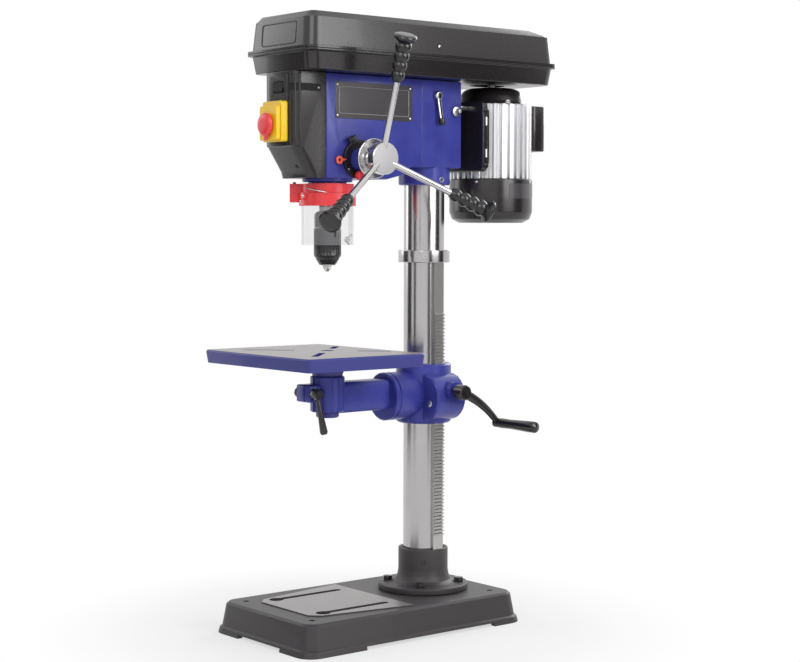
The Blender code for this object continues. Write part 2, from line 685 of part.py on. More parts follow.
def make_lever(name, pivot, axis, down, length, stud, finish="black_plastic"):
    """Clamp lever: threaded stud, round hub and a hanging bar that thickens to its end."""
    pivot, axis, down = Vector(pivot), Vector(axis).normalized(), Vector(down).normalized()
    lever = turned(name, [
        (5 * MM, -stud), (5 * MM, -2 * MM), (9 * MM, -2 * MM), (9.5 * MM, 0), (9.5 * MM, 12 * MM), (7.5 * MM, 15 * MM),
    ], pivot, axis, 10, finish)
    bar = turned(f"{name}_bar", [
        (4 * MM, 0), (4.5 * MM, 0.4 * length), (7 * MM, length - 4 * MM), (5 * MM, length), (0, length),
    ], pivot + axis * 7 * MM, down + axis * 0.15, 12)
    return join(lever, bar)


def make_column_lock_lever():
    """Lever whose stud closes the split of the bracket on the column."""
    at = (-13 * MM - GAP - 2 * MM, COLUMN_Y + 60 * MM, BRACKET_BOTTOM + 50 * MM)
    return make_lever("column_lock_lever", at, (-1, 0, 0), (0, 0.2, -1), 62 * MM, 36 * MM)


# ---------------------------------------------------------------- arm and table
def make_table_arm():
    """Arm: tilt flange at the back, square bar, and the split hub that holds the table post."""
    radius = TILT_BOSS_DIAMETER / 2
    arm = rod("table_arm", TILT_BOSS_DIAMETER, (0, TILT_FACE_Y - 10 * MM, TILT_Z), (0, TILT_FACE_Y, TILT_Z), 24,
              "blue_paint", 2 * MM)
    half_z, half_x = ARM_HEIGHT / 2, ARM_WIDTH / 2
    middle = TILT_Z + 5 * MM
    bar = prism("arm_bar", rounded(-half_x, half_x, middle - half_z, middle + half_z, 9 * MM, 3),
                POST_Y, TILT_FACE_Y - 6 * MM, "Y")
    hub = rod("arm_hub", ARM_HUB_DIAMETER, (0, POST_Y, ARM_HUB_BOTTOM), (0, POST_Y, ARM_HUB_TOP), 20, bevel=2 * MM)
    ear = block("arm_ear", (-CLAMP_LEFT, CLAMP_RIGHT), (POST_Y - CLAMP_FRONT, POST_Y - 18 * MM),
                (CLAMP_Z - 15 * MM, CLAMP_Z + 15 * MM))
    soften(ear, 3 * MM, 2)
    join(arm, bar, hub, ear)
    bore = rod("arm_bore", POST_DIAMETER + 2 * GAP, (0, POST_Y, ARM_HUB_BOTTOM - 9 * MM),
               (0, POST_Y, ARM_HUB_TOP + 9 * MM), 20)
    split = block("arm_split", (-1.5 * MM, 1.5 * MM), (POST_Y - 60 * MM, POST_Y - 10 * MM),
                  (ARM_HUB_BOTTOM - 9 * MM, ARM_HUB_TOP + 9 * MM))
    stud_hole = rod("arm_stud_hole", 10 * MM + 2 * GAP, (-60 * MM, POST_Y - CLAMP_BOLT, CLAMP_Z),
                    (60 * MM, POST_Y - CLAMP_BOLT, CLAMP_Z), 10)
    bolt_hole = rod("arm_bolt_hole", 16 * MM + 2 * GAP, (0, TILT_FACE_Y - 46 * MM, TILT_Z),
                    (0, TILT_FACE_Y + 9 * MM, TILT_Z), 12)
    pocket = block("arm_pocket", (-14 * MM, 14 * MM), (POST_Y + 45 * MM, TILT_FACE_Y - 26 * MM),
                   (TILT_Z - 40 * MM, TILT_Z + 14 * MM))
    return cut(arm, bore, split, stud_hole, bolt_hole, pocket)


def make_tilt_bolt():
    """Bolt on the tilt axis that draws arm and bracket together."""
    start = TILT_FACE_Y - 26 * MM - GAP
    return turned("tilt_bolt", [
        (12 * MM, -12 * MM), (12 * MM, 0), (8 * MM, 0), (8 * MM, 62 * MM - 2 * MM), (6 * MM, 62 * MM),
    ], (0, start, TILT_Z), (0, 1, 0), 6 * 4, "steel")


def make_table():
    """Slotted work table: machined plate, rim all round, ribs and the post under it."""
    half = TABLE_WIDTH / 2
    low = TABLE_TOP - TABLE_RIM
    table = loft("table", [
        (rounded(-half + 3 * MM, half - 3 * MM, -TABLE_FRONT + 3 * MM, TABLE_BACK - 3 * MM, 6 * MM, 3), low),
        (rounded(-half, half, -TABLE_FRONT, TABLE_BACK, 8 * MM, 3), TABLE_TOP - 3 * MM),
        (rounded(-half + 2 * MM, half - 2 * MM, -TABLE_FRONT + 2 * MM, TABLE_BACK - 2 * MM, 7 * MM, 3), TABLE_TOP),
    ], "blue_paint")
    wall = 10 * MM
    hollow = prism("table_hollow", rounded(-half + wall, half - wall, -TABLE_FRONT + wall, TABLE_BACK - wall, 6 * MM, 3),
                   low - 5 * MM, TABLE_UNDER)
    cut(table, hollow)
    boss = turned("table_boss", [
        (38 * MM, TABLE_UNDER + 2 * MM), (34 * MM, TABLE_UNDER - 8 * MM), (POST_DIAMETER / 2 + 6 * MM, ARM_HUB_TOP + GAP),
        (POST_DIAMETER / 2, ARM_HUB_TOP + GAP), (POST_DIAMETER / 2, ARM_HUB_BOTTOM - 8 * MM),
        (POST_DIAMETER / 2 - 2 * MM, ARM_HUB_BOTTOM - 10 * MM),
    ], (0, POST_Y, 0), sides=20)
    rib_x = block("table_rib_x", (-half + 4 * MM, half - 4 * MM), (POST_Y - 4 * MM, POST_Y + 4 * MM),
                  (low + 4 * MM, TABLE_UNDER + 2 * MM))
    rib_y = block("table_rib_y", (-4 * MM, 4 * MM), (-TABLE_FRONT + 4 * MM, TABLE_BACK - 4 * MM),
                  (low + 4 * MM, TABLE_UNDER + 2 * MM))
    join(table, rib_x, rib_y, boss)
    cut(table, rod("table_hole", TABLE_HOLE, (0, 0, ARM_HUB_BOTTOM - 20 * MM), (0, 0, TABLE_TOP + 9 * MM), 16))
    width = TABLE_SLOT_WIDTH / 2
    for i, (sx, sy, near, far) in enumerate((
            (1, -1, 58 * MM, 150 * MM), (-1, -1, 58 * MM, 150 * MM), (1, 1, 52 * MM, 112 * MM), (-1, 1, 52 * MM, 112 * MM))):
        a = math.degrees(math.atan2(sy, sx))
        points = [(near, width)] + [(near, -width)] + [(far - width + width * math.cos(t), width * math.sin(t))
                                                      for t in (-math.pi / 2 + math.pi * k / 5 for k in range(6))]
        turn = Matrix.Rotation(math.radians(a), 2)
        outline = [tuple(turn @ Vector(p)) for p in points]
        cut(table, prism(f"table_slot_{i}", outline, low - 9 * MM, TABLE_TOP + 9 * MM))
    return table


def make_table_lock_lever():
    """Lever under the table that clamps the post in the arm."""
    at = (CLAMP_RIGHT + GAP + 2 * MM, POST_Y - CLAMP_BOLT, CLAMP_Z)
    lever = make_lever("table_lock_lever", at, (1, 0, 0), (0, 0.12, -1), 70 * MM, CLAMP_RIGHT + CLAMP_LEFT + 4 * MM)
    head = rod("table_lock_head", 18 * MM, (-CLAMP_LEFT - GAP - 8 * MM, POST_Y - CLAMP_BOLT, CLAMP_Z),
               (-CLAMP_LEFT - GAP, POST_Y - CLAMP_BOLT, CLAMP_Z), 12, bevel=1.5 * MM)
    return join(lever, head)


# ---------------------------------------------------------------- head
def make_head_casting():
    """Head casting: side walls, quill housing with its neck, column socket and the bosses."""
    side = prism("head_casting", [
        (HEAD_FRONT + GAP, HEAD_BOTTOM_FRONT), (95 * MM, HEAD_BOTTOM_FRONT), (128 * MM, HEAD_BOTTOM_FRONT + 8 * MM),
        (150 * MM, HEAD_BOTTOM_BACK), (HEAD_BACK, HEAD_BOTTOM_BACK), (HEAD_BACK, HEAD_TOP), (HEAD_FRONT + GAP, HEAD_TOP),
    ], -HEAD_HALF, HEAD_HALF, "X", "blue_paint")
    soften(side, 3 * MM, 2)
    pocket_back = COLUMN_Y - SOCKET_DIAMETER / 2 - 6 * MM
    pocket = prism("head_pocket", [
        (HEAD_FRONT - 9 * MM, HEAD_BOTTOM_FRONT + HEAD_WALL), (pocket_back, HEAD_BOTTOM_BACK + HEAD_WALL + 2 * MM),
        (pocket_back, HEAD_TOP - HEAD_WALL), (HEAD_FRONT - 9 * MM, HEAD_TOP - HEAD_WALL),
    ], -HEAD_HALF + HEAD_WALL, HEAD_HALF - HEAD_WALL, "X")
    cut(side, pocket)
    housing = rod("head_quill_housing", NECK_DIAMETER, (0, 0, NECK_BOTTOM), (0, 0, HEAD_TOP - 3 * MM), 24)
    boss = rod("head_quill_boss", QUILL_BOSS_DIAMETER, (0, 0, QUILL_BOSS_BOTTOM), (0, 0, HEAD_BOTTOM_FRONT + 8 * MM), 26,
               bevel=1.5 * MM)
    web = block("head_web", (-9 * MM, 9 * MM), (20 * MM, pocket_back + 4 * MM), (HEAD_BOTTOM_BACK + 4 * MM, HEAD_TOP - 4 * MM))
    cross = rod("head_pinion_housing", FEED_BOSS_DIAMETER, (-HEAD_HALF + 4 * MM, FEED_Y, FEED_Z),
                (FEED_BOSS_END, FEED_Y, FEED_Z), 18)
    socket = rod("head_column_socket", SOCKET_DIAMETER, (0, COLUMN_Y, SOCKET_BOTTOM),
                 (0, COLUMN_Y, HEAD_TOP - 20 * MM), 26, bevel=2 * MM)
    front_room = block("head_front_room_half", (-80 * MM, 80 * MM), (-90 * MM, HEAD_FRONT + GAP),
                       (HEAD_BOTTOM_FRONT - GAP, HEAD_BOTTOM_FRONT + 30 * MM))
    cut(boss, front_room)
    join(side, housing, boss, web, cross, socket)
    quill_bore = rod("head_quill_bore", QUILL_DIAMETER + 2 * GAP, (0, 0, NECK_BOTTOM - 9 * MM), (0, 0, HEAD_TOP + 9 * MM), 24)
    column_bore = rod("head_column_bore", COLUMN_DIAMETER + 2 * GAP, (0, COLUMN_Y, SOCKET_BOTTOM - 9 * MM),
                      (0, COLUMN_Y, COLUMN_TOP + GAP), 32)
    tip = PINION_PITCH_RADIUS + QUILL_MODULE + 0.8 * MM
    pinion_bore = rod("head_pinion_bore", 2 * tip, (-HEAD_HALF - 9 * MM, FEED_Y, FEED_Z),
                      (FEED_BOSS_END + 9 * MM, FEED_Y, FEED_Z), 18)
    cut(side, quill_bore, column_bore, pinion_bore)
    for sign in (-1, 1):
        cut(side, rod(f"head_rod_hole_{sign}", ROD_DIAMETER + 2 * GAP, (sign * ROD_X, ROD_START - 9 * MM, ROD_Z),
                      (sign * ROD_X, HEAD_BACK + 9 * MM, ROD_Z), 12))
    cut(side, rod("head_lever_hole", 8 * MM + 2 * GAP, (HEAD_HALF - 30 * MM, 206 * MM, 886.5 * MM),
                  (HEAD_HALF + 9 * MM, 206 * MM, 886.5 * MM), 10))
    return side


def nose_outline(front, inset):
    """Plan of the front cover: straight sides and round front corners."""
    half = HEAD_HALF - inset
    corner = NOSE_CORNER
    front_y = front + inset
    return ([(half, HEAD_FRONT), ] + [(half - corner + corner * math.cos(a), front_y + corner + corner * math.sin(a))
            for a in (-math.pi / 2 * i / 5 for i in range(6))]
            + [(-half + corner - corner * math.sin(a), front_y + corner - corner * math.cos(a))
               for a in (math.pi / 2 * i / 5 for i in range(6))] + [(-half, HEAD_FRONT)])


def make_front_cover():
    """Moulded nose: a shell open at the back, its chin sloping back under the switch."""
    levels = ((HEAD_BOTTOM_FRONT, CHIN_BACK + 3 * MM), (CHIN_BOTTOM, CHIN_BACK), (CHIN_TOP, CHIN_STEP),
              (CHIN_TOP + 1 * MM, 0), (HEAD_TOP, 0))
    cover = loft("front_cover", [(nose_outline(NOSE_FRONT + back, 0), z) for z, back in levels], "black_plastic")
    inner = []
    room_levels = ((HEAD_BOTTOM_FRONT + COVER_WALL, CHIN_BACK + 1 * MM), (CHIN_BOTTOM + COVER_WALL, CHIN_BACK - 1 * MM),
                   (CHIN_TOP + 2 * MM, CHIN_STEP), (HEAD_TOP - COVER_WALL, 0))
    for z, back in room_levels:
        ring = [(x, y if y < HEAD_FRONT - 1e-6 else HEAD_FRONT + 9 * MM)
                for x, y in nose_outline(NOSE_FRONT + back, COVER_WALL)]
        inner.append((ring, z))
    cut(cover, loft("front_cover_room", inner))
    lamp_hole = block("front_cover_lamp_hole", (-14 * MM - GAP, 14 * MM + GAP), (NOSE_FRONT - 9 * MM, NOSE_FRONT + 9 * MM),
                      (878 * MM - GAP, 897 * MM + GAP))
    start_hole = block("front_cover_switch_hole", (-20 * MM, 20 * MM), (NOSE_FRONT - 9 * MM, NOSE_FRONT + 9 * MM),
                       (SWITCH_BOTTOM + 8 * MM, SWITCH_TOP - 8 * MM))
    return cut(cover, lamp_hole, start_hole)


def make_lamp_rocker():
    """Rocker switch of the work lamp."""
    rocker = prism("lamp_rocker", [
        (NOSE_FRONT + 8 * MM, 878 * MM), (NOSE_FRONT - 1 * MM, 878 * MM), (NOSE_FRONT - 3 * MM, 882 * MM),
        (NOSE_FRONT - 0.5 * MM, 888 * MM), (NOSE_FRONT - 0.5 * MM, 897 * MM), (NOSE_FRONT + 8 * MM, 897 * MM),
    ], -13.5 * MM, 13.5 * MM, "X", "black_plastic")
    return rocker


def make_switch_box():
    """Frame of the main switch, with wells for its two buttons."""
    back = NOSE_FRONT - GAP
    box = prism("switch_box", rounded(-SWITCH_HALF, SWITCH_HALF, SWITCH_BOTTOM, SWITCH_TOP, 4 * MM, 3),
                back - SWITCH_DEPTH, back, "Y", "yellow_plastic")
    soften(box, 1 * MM, 1)
    for name, z in (("start", MUSHROOM_Z + 19.5 * MM), ("stop", MUSHROOM_Z)):
        cut(box, rod(f"switch_{name}_well", BUTTON_DIAMETER + 4 * GAP, (0, back - SWITCH_DEPTH - 9 * MM, z),
                     (0, back - 3 * MM, z), 12))
    return box


def make_button(name, z, finish):
    """Round push button in its well, standing 3 mm out of the box."""
    face = NOSE_FRONT - GAP - SWITCH_DEPTH
    return rod(name, BUTTON_DIAMETER, (0, face - 2 * MM, z), (0, face + 6 * MM, z), 12, finish, 0.6 * MM)


def make_switch_flap():
    """Flap over the buttons, hinged at its top edge, with a hole for the stop knob's stem."""
    back = NOSE_FRONT - GAP - SWITCH_DEPTH - GAP
    half = SWITCH_HALF - 3 * MM
    flap = prism("switch_flap", rounded(-half, half, SWITCH_BOTTOM + 2 * MM, SWITCH_TOP - 8 * MM, 4 * MM, 3),
                 back - FLAP_THICK, back, "Y", "yellow_plastic")
    soften(flap, 1 * MM, 1)
    room = block("switch_flap_room", (-half + 3 * MM, half - 3 * MM), (back - FLAP_THICK + 2.5 * MM, back + 9 * MM),
                 (SWITCH_BOTTOM + 5 * MM, SWITCH_TOP - 11 * MM))
    stem = rod("switch_flap_hole", STOP_STEM + 2 * GAP, (0, back - FLAP_THICK - 9 * MM, MUSHROOM_Z),
               (0, back, MUSHROOM_Z), 12)
    return cut(flap, room, stem)


def make_stop_knob():
    """Red mushroom knob with a small finger tab at its foot."""
    front = NOSE_FRONT - 2 * GAP - SWITCH_DEPTH - FLAP_THICK
    radius = MUSHROOM_DIAMETER / 2
    knob = turned("stop_knob", [
        (0, 12 * MM), (10 * MM, 11.4 * MM), (16 * MM, 9.6 * MM), (radius, 6 * MM), (radius, 4.4 * MM), (17 * MM, 3 * MM),
        (STOP_STEM / 2, 3 * MM), (STOP_STEM / 2, -6 * MM),
    ], (0, front, MUSHROOM_Z), (0, -1, 0), 18, "red_plastic")
    tab = prism("stop_knob_tab", rounded(-5 * MM, 5 * MM, MUSHROOM_Z - radius - 7 * MM, MUSHROOM_Z - radius + 6 * MM, 2 * MM, 2),
                front - 5.6 * MM, front - 3.4 * MM, "Y")
    return join(knob, tab)


def make_spring_cap():
    """Cap of the coiled return spring on the left end of the feed shaft."""
    return turned("spring_cap", [
        (26 * MM, GAP), (26 * MM, 16 * MM), (23 * MM, 19 * MM), (7 * MM, 19 * MM), (7 * MM, 16 * MM),
        (23 * MM, 16 * MM), (23 * MM, GAP),
    ], (-HEAD_HALF, FEED_Y, FEED_Z), (-1, 0, 0), 18, "black_plastic", ring=True)


# ---------------------------------------------------------------- quill, spindle and chuck
def make_quill():
    """Quill: ground tube with rack teeth cut in its back and the bearing's seat at its foot."""
    radius = QUILL_DIAMETER / 2
    seat = BEARING_DIAMETER / 2 + GAP
    bore = SPINDLE_DIAMETER / 2 + 2 * MM
    quill = turned("quill", [
        (radius - 1 * MM, QUILL_BOTTOM), (radius, QUILL_BOTTOM + 1 * MM), (radius, QUILL_TOP - 1 * MM),
        (radius - 1 * MM, QUILL_TOP), (bore, QUILL_TOP), (bore, QUILL_BOTTOM + BEARING_HEIGHT + GAP),
        (seat, QUILL_BOTTOM + BEARING_HEIGHT + GAP), (seat, QUILL_BOTTOM),
    ], (0, 0, 0), sides=24, finish="steel", ring=True)
    pitch = math.pi * QUILL_MODULE
    root = radius - 2.15 * QUILL_MODULE
    face = radius + 3 * MM
    slope = (0.36 - 0.14) * pitch / (2.15 * QUILL_MODULE)
    for i in range(QUILL_TEETH):
        middle = FEED_Z - 3 * pitch + i * pitch
        narrow = 0.14 * pitch
        wide = narrow + slope * (face - root)
        cut(quill, prism(f"quill_tooth_space_{i}", [(root, middle - narrow), (face, middle - wide), (face, middle + wide),
                                                   (root, middle + narrow)], -12 * MM, 12 * MM, "X"))
    return quill


def make_bearing(name, low):
    """Ball bearing drawn as its closed ring."""
    inner = SPINDLE_DIAMETER / 2 + GAP
    return tube(name, BEARING_DIAMETER, 2 * inner, (0, 0, low), (0, 0, low + BEARING_HEIGHT - GAP), 18, "steel")


def make_spindle():
    """Spindle: socket nose below the quill, plain journal and long driven end."""
    radius, nose = SPINDLE_DIAMETER / 2, SPINDLE_NOSE_DIAMETER / 2
    return turned("spindle", [
        (nose - 1 * MM, CHUCK_BODY_TOP + GAP), (nose, CHUCK_BODY_TOP + 1.5 * MM), (nose, QUILL_BOTTOM - 2 * MM - GAP),
        (nose - 1 * MM, QUILL_BOTTOM - GAP - 1 * MM), (radius, QUILL_BOTTOM - GAP - 1 * MM), (radius, SPINDLE_TOP - 2 * MM),
        (radius - 2 * MM, SPINDLE_TOP),
    ], (0, 0, 0), sides=18, finish="steel")


def jaw_reach(z):
    """Outer radius of the jaws' guide cone at a height."""
    return 9.5 * MM + (z - CHUCK_NOSE - 4 * MM) * math.tan(JAW_SLOPE)


def jaw_top():
    """Height that the jaws reach when fully open."""
    return JAW_TIP + JAW_LENGTH + JAW_TRAVEL * math.cos(JAW_SLOPE)


def make_chuck_body():
    """Body of the keyless chuck: rear ring and the core on which the sleeve turns."""
    radius, core = CHUCK_DIAMETER / 2, 14 * MM
    return turned("chuck_body", [
        (core, CHUCK_BODY_TOP), (radius - 5 * MM, CHUCK_BODY_TOP), (radius - 1 * MM, CHUCK_BODY_TOP - 5 * MM),
        (radius - 1 * MM, CHUCK_TOP + GAP), (core, CHUCK_TOP + GAP), (core, jaw_top() + 2 * MM),
    ], (0, 0, 0), sides=18, finish="black_plastic")


def make_chuck_sleeve():
    """Gripping sleeve that closes the jaws, hollow along their guide cone."""
    radius = CHUCK_DIAMETER / 2
    inner = 14 * MM + GAP
    groove = CHUCK_NOSE + 9 * MM
    shoulder = jaw_top() + 2 * MM
    return turned("chuck_sleeve", [
        (radius - 1 * MM, CHUCK_TOP), (radius, CHUCK_TOP - 1 * MM), (radius, groove + 2.5 * MM),
        (radius - 1 * MM, groove + 1.5 * MM), (radius - 1 * MM, groove - 1.5 * MM), (radius - 2 * MM, groove - 3 * MM),
        (radius - 8 * MM, CHUCK_NOSE + 1 * MM), (radius - 9.5 * MM, CHUCK_NOSE),
        (jaw_reach(CHUCK_NOSE) + 1 * MM, CHUCK_NOSE), (jaw_reach(jaw_top()) + 1 * MM, jaw_top()),
        (jaw_reach(jaw_top()) + 1 * MM, shoulder), (inner, shoulder + 2 * MM), (inner, CHUCK_TOP),
    ], (0, 0, 0), sides=24, finish="black_plastic", ring=True)


def make_jaw(index):
    """One of three jaws: its outer face lies on the guide cone and its inner face along the axis."""
    a = 2 * math.pi * index / 3 + math.pi / 2
    rings = []
    for z, half in ((JAW_TIP, 1.2), (JAW_TIP + 5 * MM, 2.0), (CHUCK_NOSE + 4 * MM, 2.6), (JAW_TIP + JAW_LENGTH, 2.6)):
        half *= MM
        inner, outer = 0.9 * MM, max(jaw_reach(z), 3.4 * MM)
        if z == JAW_TIP:
            outer = 3.4 * MM
        rings.append([(r * math.cos(a) - t * math.sin(a), r * math.sin(a) + t * math.cos(a), z)
                      for r, t in ((inner, -0.35 * half), (outer, -half), (outer, half), (inner, 0.35 * half))])
    return object_from(f"chuck_jaw_{index + 1}", skin(rings), "steel", False)


# ---------------------------------------------------------------- feed hub
def make_pinion_shaft():
    """Feed shaft: pinion in mesh with the quill, journal to the right and a stub to the left."""
    left, right = -HEAD_HALF - 12 * MM, HUB_FACE - 16 * MM
    outline = gear_outline(PINION_TEETH, QUILL_MODULE, 0.02, 0.0)
    gear = prism("pinion_shaft", outline, -11 * MM, 11 * MM, "X", "steel")
    gear.location = (0, FEED_Y, FEED_Z)
    journal = PINION_PITCH_RADIUS + QUILL_MODULE
    shaft = turned("pinion_shaft_core", [
        (6 * MM, left), (6 * MM, -30 * MM), (journal, -30 * MM), (journal, -14 * MM), (7 * MM, -14 * MM), (7 * MM, 14 * MM),
        (journal, 14 * MM), (journal, FEED_BOSS_END - 4 * MM), (8 * MM, FEED_BOSS_END - 4 * MM), (8 * MM, right),
    ], (0, 0, 0), (1, 0, 0), 16)
    shaft.parent = gear
    return join(gear, shaft)


def make_feed_hub():
    """Chromed hub: flared cup beside the boss, neck and thick end disc with three sockets."""
    start = FEED_BOSS_END + GAP
    disc, flare = HUB_DIAMETER / 2, FLARE_DIAMETER / 2
    bore = 8 * MM + GAP
    x = [v - start for v in (start + 6 * MM, start + 9 * MM, SPOKE_X - 10 * MM, HUB_FACE)]
    hub = turned("feed_hub", [
        (14 * MM, 0), (22 * MM, 0), (flare - 2 * MM, x[0]), (flare, x[1]), (flare - 3 * MM, x[1] + 0.4 * MM),
        (flare - 5 * MM, x[0] + 1.5 * MM), (22 * MM, 3 * MM), (14 * MM, 3.5 * MM), (14 * MM, x[2] - 4 * MM),
        (disc - 3 * MM, x[2]), (disc, x[2] + 3 * MM), (disc, x[3] - 3 * MM), (disc - 1 * MM, x[3] - 1 * MM),
        (disc - 3.5 * MM, x[3]), (0, x[3]), (0, x[3] - 15 * MM), (bore, x[3] - 15 * MM), (bore, 0),
    ], (start, FEED_Y, FEED_Z), (1, 0, 0), 24, "chrome", ring=True)
    for i in range(3):
        start_point, direction = spoke_line(i)
        cut(hub, rod(f"hub_socket_{i}", SPOKE_DIAMETER + 2 * GAP, start_point + direction * 14 * MM,
                     start_point + direction * 60 * MM, 10))
    return hub


def spoke_line(index):
    """Where a spoke's centre line leaves the hub axis, and its direction."""
    a = SPOKE_START + 2 * math.pi * index / 3
    direction = Vector((math.sin(SPOKE_TILT), math.cos(SPOKE_TILT) * math.sin(a), math.cos(SPOKE_TILT) * math.cos(a)))
    return Vector((SPOKE_X, FEED_Y, FEED_Z)), direction


def make_spoke(index):
    """Chromed rod screwed into the hub, its far end inside the grip."""
    at, direction = spoke_line(index)
    return rod(f"feed_spoke_{index + 1}", SPOKE_DIAMETER, at + direction * (14 * MM + GAP), at + direction * SPOKE_LENGTH * 1.3,
               16, "chrome", 0.6 * MM)


def make_grip(index):
    """Black grip with four swelling rings and a flat mushroom end."""
    at, direction = spoke_line(index)
    bore = SPOKE_DIAMETER / 2 + GAP
    profile = [(bore, 0), (9 * MM, 0)]
    rings = 4
    ring_length = (GRIP_LENGTH - 12 * MM) / rings
    for i in range(rings):
        low = i * ring_length
        big = (11 + 1.0 * i) * MM
        profile += [(big - 2.4 * MM, low + 0.1 * ring_length), (big, low + 0.5 * ring_length),
                    (big - 3 * MM, low + 0.95 * ring_length)]
    disc = GRIP_DISC / 2
    profile += [(disc - 5 * MM, GRIP_LENGTH - 9 * MM), (disc, GRIP_LENGTH - 4 * MM), (disc - 1.5 * MM, GRIP_LENGTH - 1 * MM),
                (disc - 4 * MM, GRIP_LENGTH), (0, GRIP_LENGTH)]
    inside = SPOKE_LENGTH * 1.3 - GRIP_START + GAP
    profile += [(0, inside), (bore, inside)]
    return turned(f"feed_grip_{index + 1}", profile, at + direction * GRIP_START, direction, 12, "black_grip", ring=True)


def make_depth_ring():
    """Depth stop ring that turns on the feed boss."""
    inner = FEED_BOSS_DIAMETER / 2 + GAP
    outer = DEPTH_RING_DIAMETER / 2
    return turned("depth_ring", [
        (inner, GAP), (outer - 1 * MM, GAP), (outer, 1.2 * MM), (outer, DEPTH_RING_THICK - 1 * MM),
        (outer - 1 * MM, DEPTH_RING_THICK), (inner, DEPTH_RING_THICK),
    ], (HEAD_HALF, FEED_Y, FEED_Z), (1, 0, 0), 24, "black_plastic", ring=True)


def make_depth_lock_knob():
    """Star knob that locks the depth ring, pointing out from its rim."""
    direction = Vector((0, -0.5, 0.866))
    at = Vector((HEAD_HALF + 10 * MM, FEED_Y, FEED_Z)) + direction * (DEPTH_RING_DIAMETER / 2 + GAP)
    frame = axis_frame(direction)
    rings = []
    for height, size in ((0, 0.55), (2 * MM, 0.6), (2 * MM, 1), (9 * MM, 1), (10 * MM, 0.85)):
        ring = []
        for k in range(30):
            a = 2 * math.pi * k / 30
            radius = (7.6 + 0.9 * math.cos(5 * a) * (size > 0.7)) * MM * size
            ring.append(at + frame @ Vector((radius * math.cos(a), radius * math.sin(a), height)))
        rings.append(ring)
    return object_from("depth_lock_knob", skin(rings), "black_plastic")


def make_quill_lock_knob():
    """Red knob low on the front of the feed boss that locks the quill."""
    y, z = FEED_Y - 7 * MM, FEED_Z - 28 * MM
    start = HEAD_HALF + DEPTH_RING_THICK + GAP
    return turned("quill_lock_knob", [
        (4 * MM, 0), (4 * MM, 3 * MM), (8.2 * MM, 4 * MM), (8.2 * MM, 13 * MM), (6.5 * MM, 15 * MM), (0, 15.5 * MM),
    ], (start, y, z), (1, 0, 0), 12, "red_plastic")


# ---------------------------------------------------------------- chuck guard
def guard_arc(inner, outer, start, end, steps):
    """Outline of a part ring, angles in degrees from +X."""
    return arc(0, 0, outer, start, end, steps) + arc(0, 0, inner, end, start, steps)


def guard_hinge():
    """(x, y) of the guard's hinge pin."""
    a = math.radians(GUARD_HINGE_ANGLE)
    return GUARD_HINGE_RADIUS * math.cos(a), GUARD_HINGE_RADIUS * math.sin(a)


def guard_lug(start):
    """Outline of a lug that reaches from a radius out around the hinge pin."""
    turn = Matrix.Rotation(math.radians(GUARD_HINGE_ANGLE), 2)
    points = rounded(start, GUARD_HINGE_RADIUS + 8 * MM, -8 * MM, 8 * MM, 3.5 * MM, 3)
    return [tuple(turn @ Vector(p)) for p in points]


def make_guard_collar():
    """Clamp ring on the quill neck, with the hinge lug on its left front."""
    inner, outer = NECK_DIAMETER / 2 + GAP, 46 * MM
    collar = tube("guard_collar", 2 * outer, 2 * inner, (0, 0, GUARD_COLLAR_BOTTOM), (0, 0, GUARD_COLLAR_TOP), 26, "red_plastic")
    lug = prism("guard_collar_lug", guard_lug(38 * MM), GUARD_COLLAR_BOTTOM, GUARD_COLLAR_TOP)
    join(collar, lug)
    x, y = guard_hinge()
    return cut(collar, rod("guard_collar_hole", GUARD_PIN_DIAMETER + 2 * GAP, (x, y, GUARD_COLLAR_BOTTOM - 9 * MM),
                           (x, y, GUARD_COLLAR_TOP + 9 * MM), 10))


def make_guard_drum():
    """Band of the guard, swinging on its hinge pin and carrying the clear shield."""
    top = GUARD_COLLAR_BOTTOM - GAP
    drum = prism("guard_drum", guard_arc(GUARD_DIAMETER / 2 - 3 * MM, GUARD_DIAMETER / 2, GUARD_START, GUARD_END, 30),
                 GUARD_DRUM_BOTTOM, top, "Z", "red_plastic", True)
    lug = prism("guard_drum_lug", guard_lug(47.5 * MM), GUARD_DRUM_BOTTOM + 6 * MM, top)
    x, y = guard_hinge()
    pin = rod("guard_drum_pin", GUARD_PIN_DIAMETER, (x, y, GUARD_DRUM_BOTTOM + 10 * MM),
              (x, y, GUARD_COLLAR_TOP + 3 * MM), 10)
    return join(drum, lug, pin)


def make_chuck_shield():
    """Clear shield that slides up and down inside the band."""
    outer = GUARD_DIAMETER / 2 - 3 * MM - GAP
    shield = prism("chuck_shield", guard_arc(outer - SHIELD_WALL, outer, GUARD_START + 4, GUARD_END - 4, 28), SHIELD_BOTTOM,
                   GUARD_COLLAR_BOTTOM - 4 * MM, "Z", "clear_plastic", True)
    for i, angle in enumerate((256, 340)):
        a = math.radians(angle)
        direction = Vector((math.cos(a), math.sin(a), 0))
        side = Vector((-math.sin(a), math.cos(a), 0))
        corners = [direction * r + side * s for r, s in ((outer - 9 * MM, -1.6 * MM), (outer + 9 * MM, -1.6 * MM),
                                                        (outer + 9 * MM, 1.6 * MM), (outer - 9 * MM, 1.6 * MM))]
        cut(shield, prism(f"shield_slot_{i}", [(c.x, c.y) for c in corners], SHIELD_BOTTOM + 14 * MM, GUARD_DRUM_BOTTOM - 5 * MM))
    return shield


# ---------------------------------------------------------------- belt guard and drive
def pan_outline(inset):
    half = PAN_WIDTH / 2 - inset
    return rounded(-half, half, PAN_FRONT + inset, PAN_BACK - inset, GUARD_CORNER, 4)


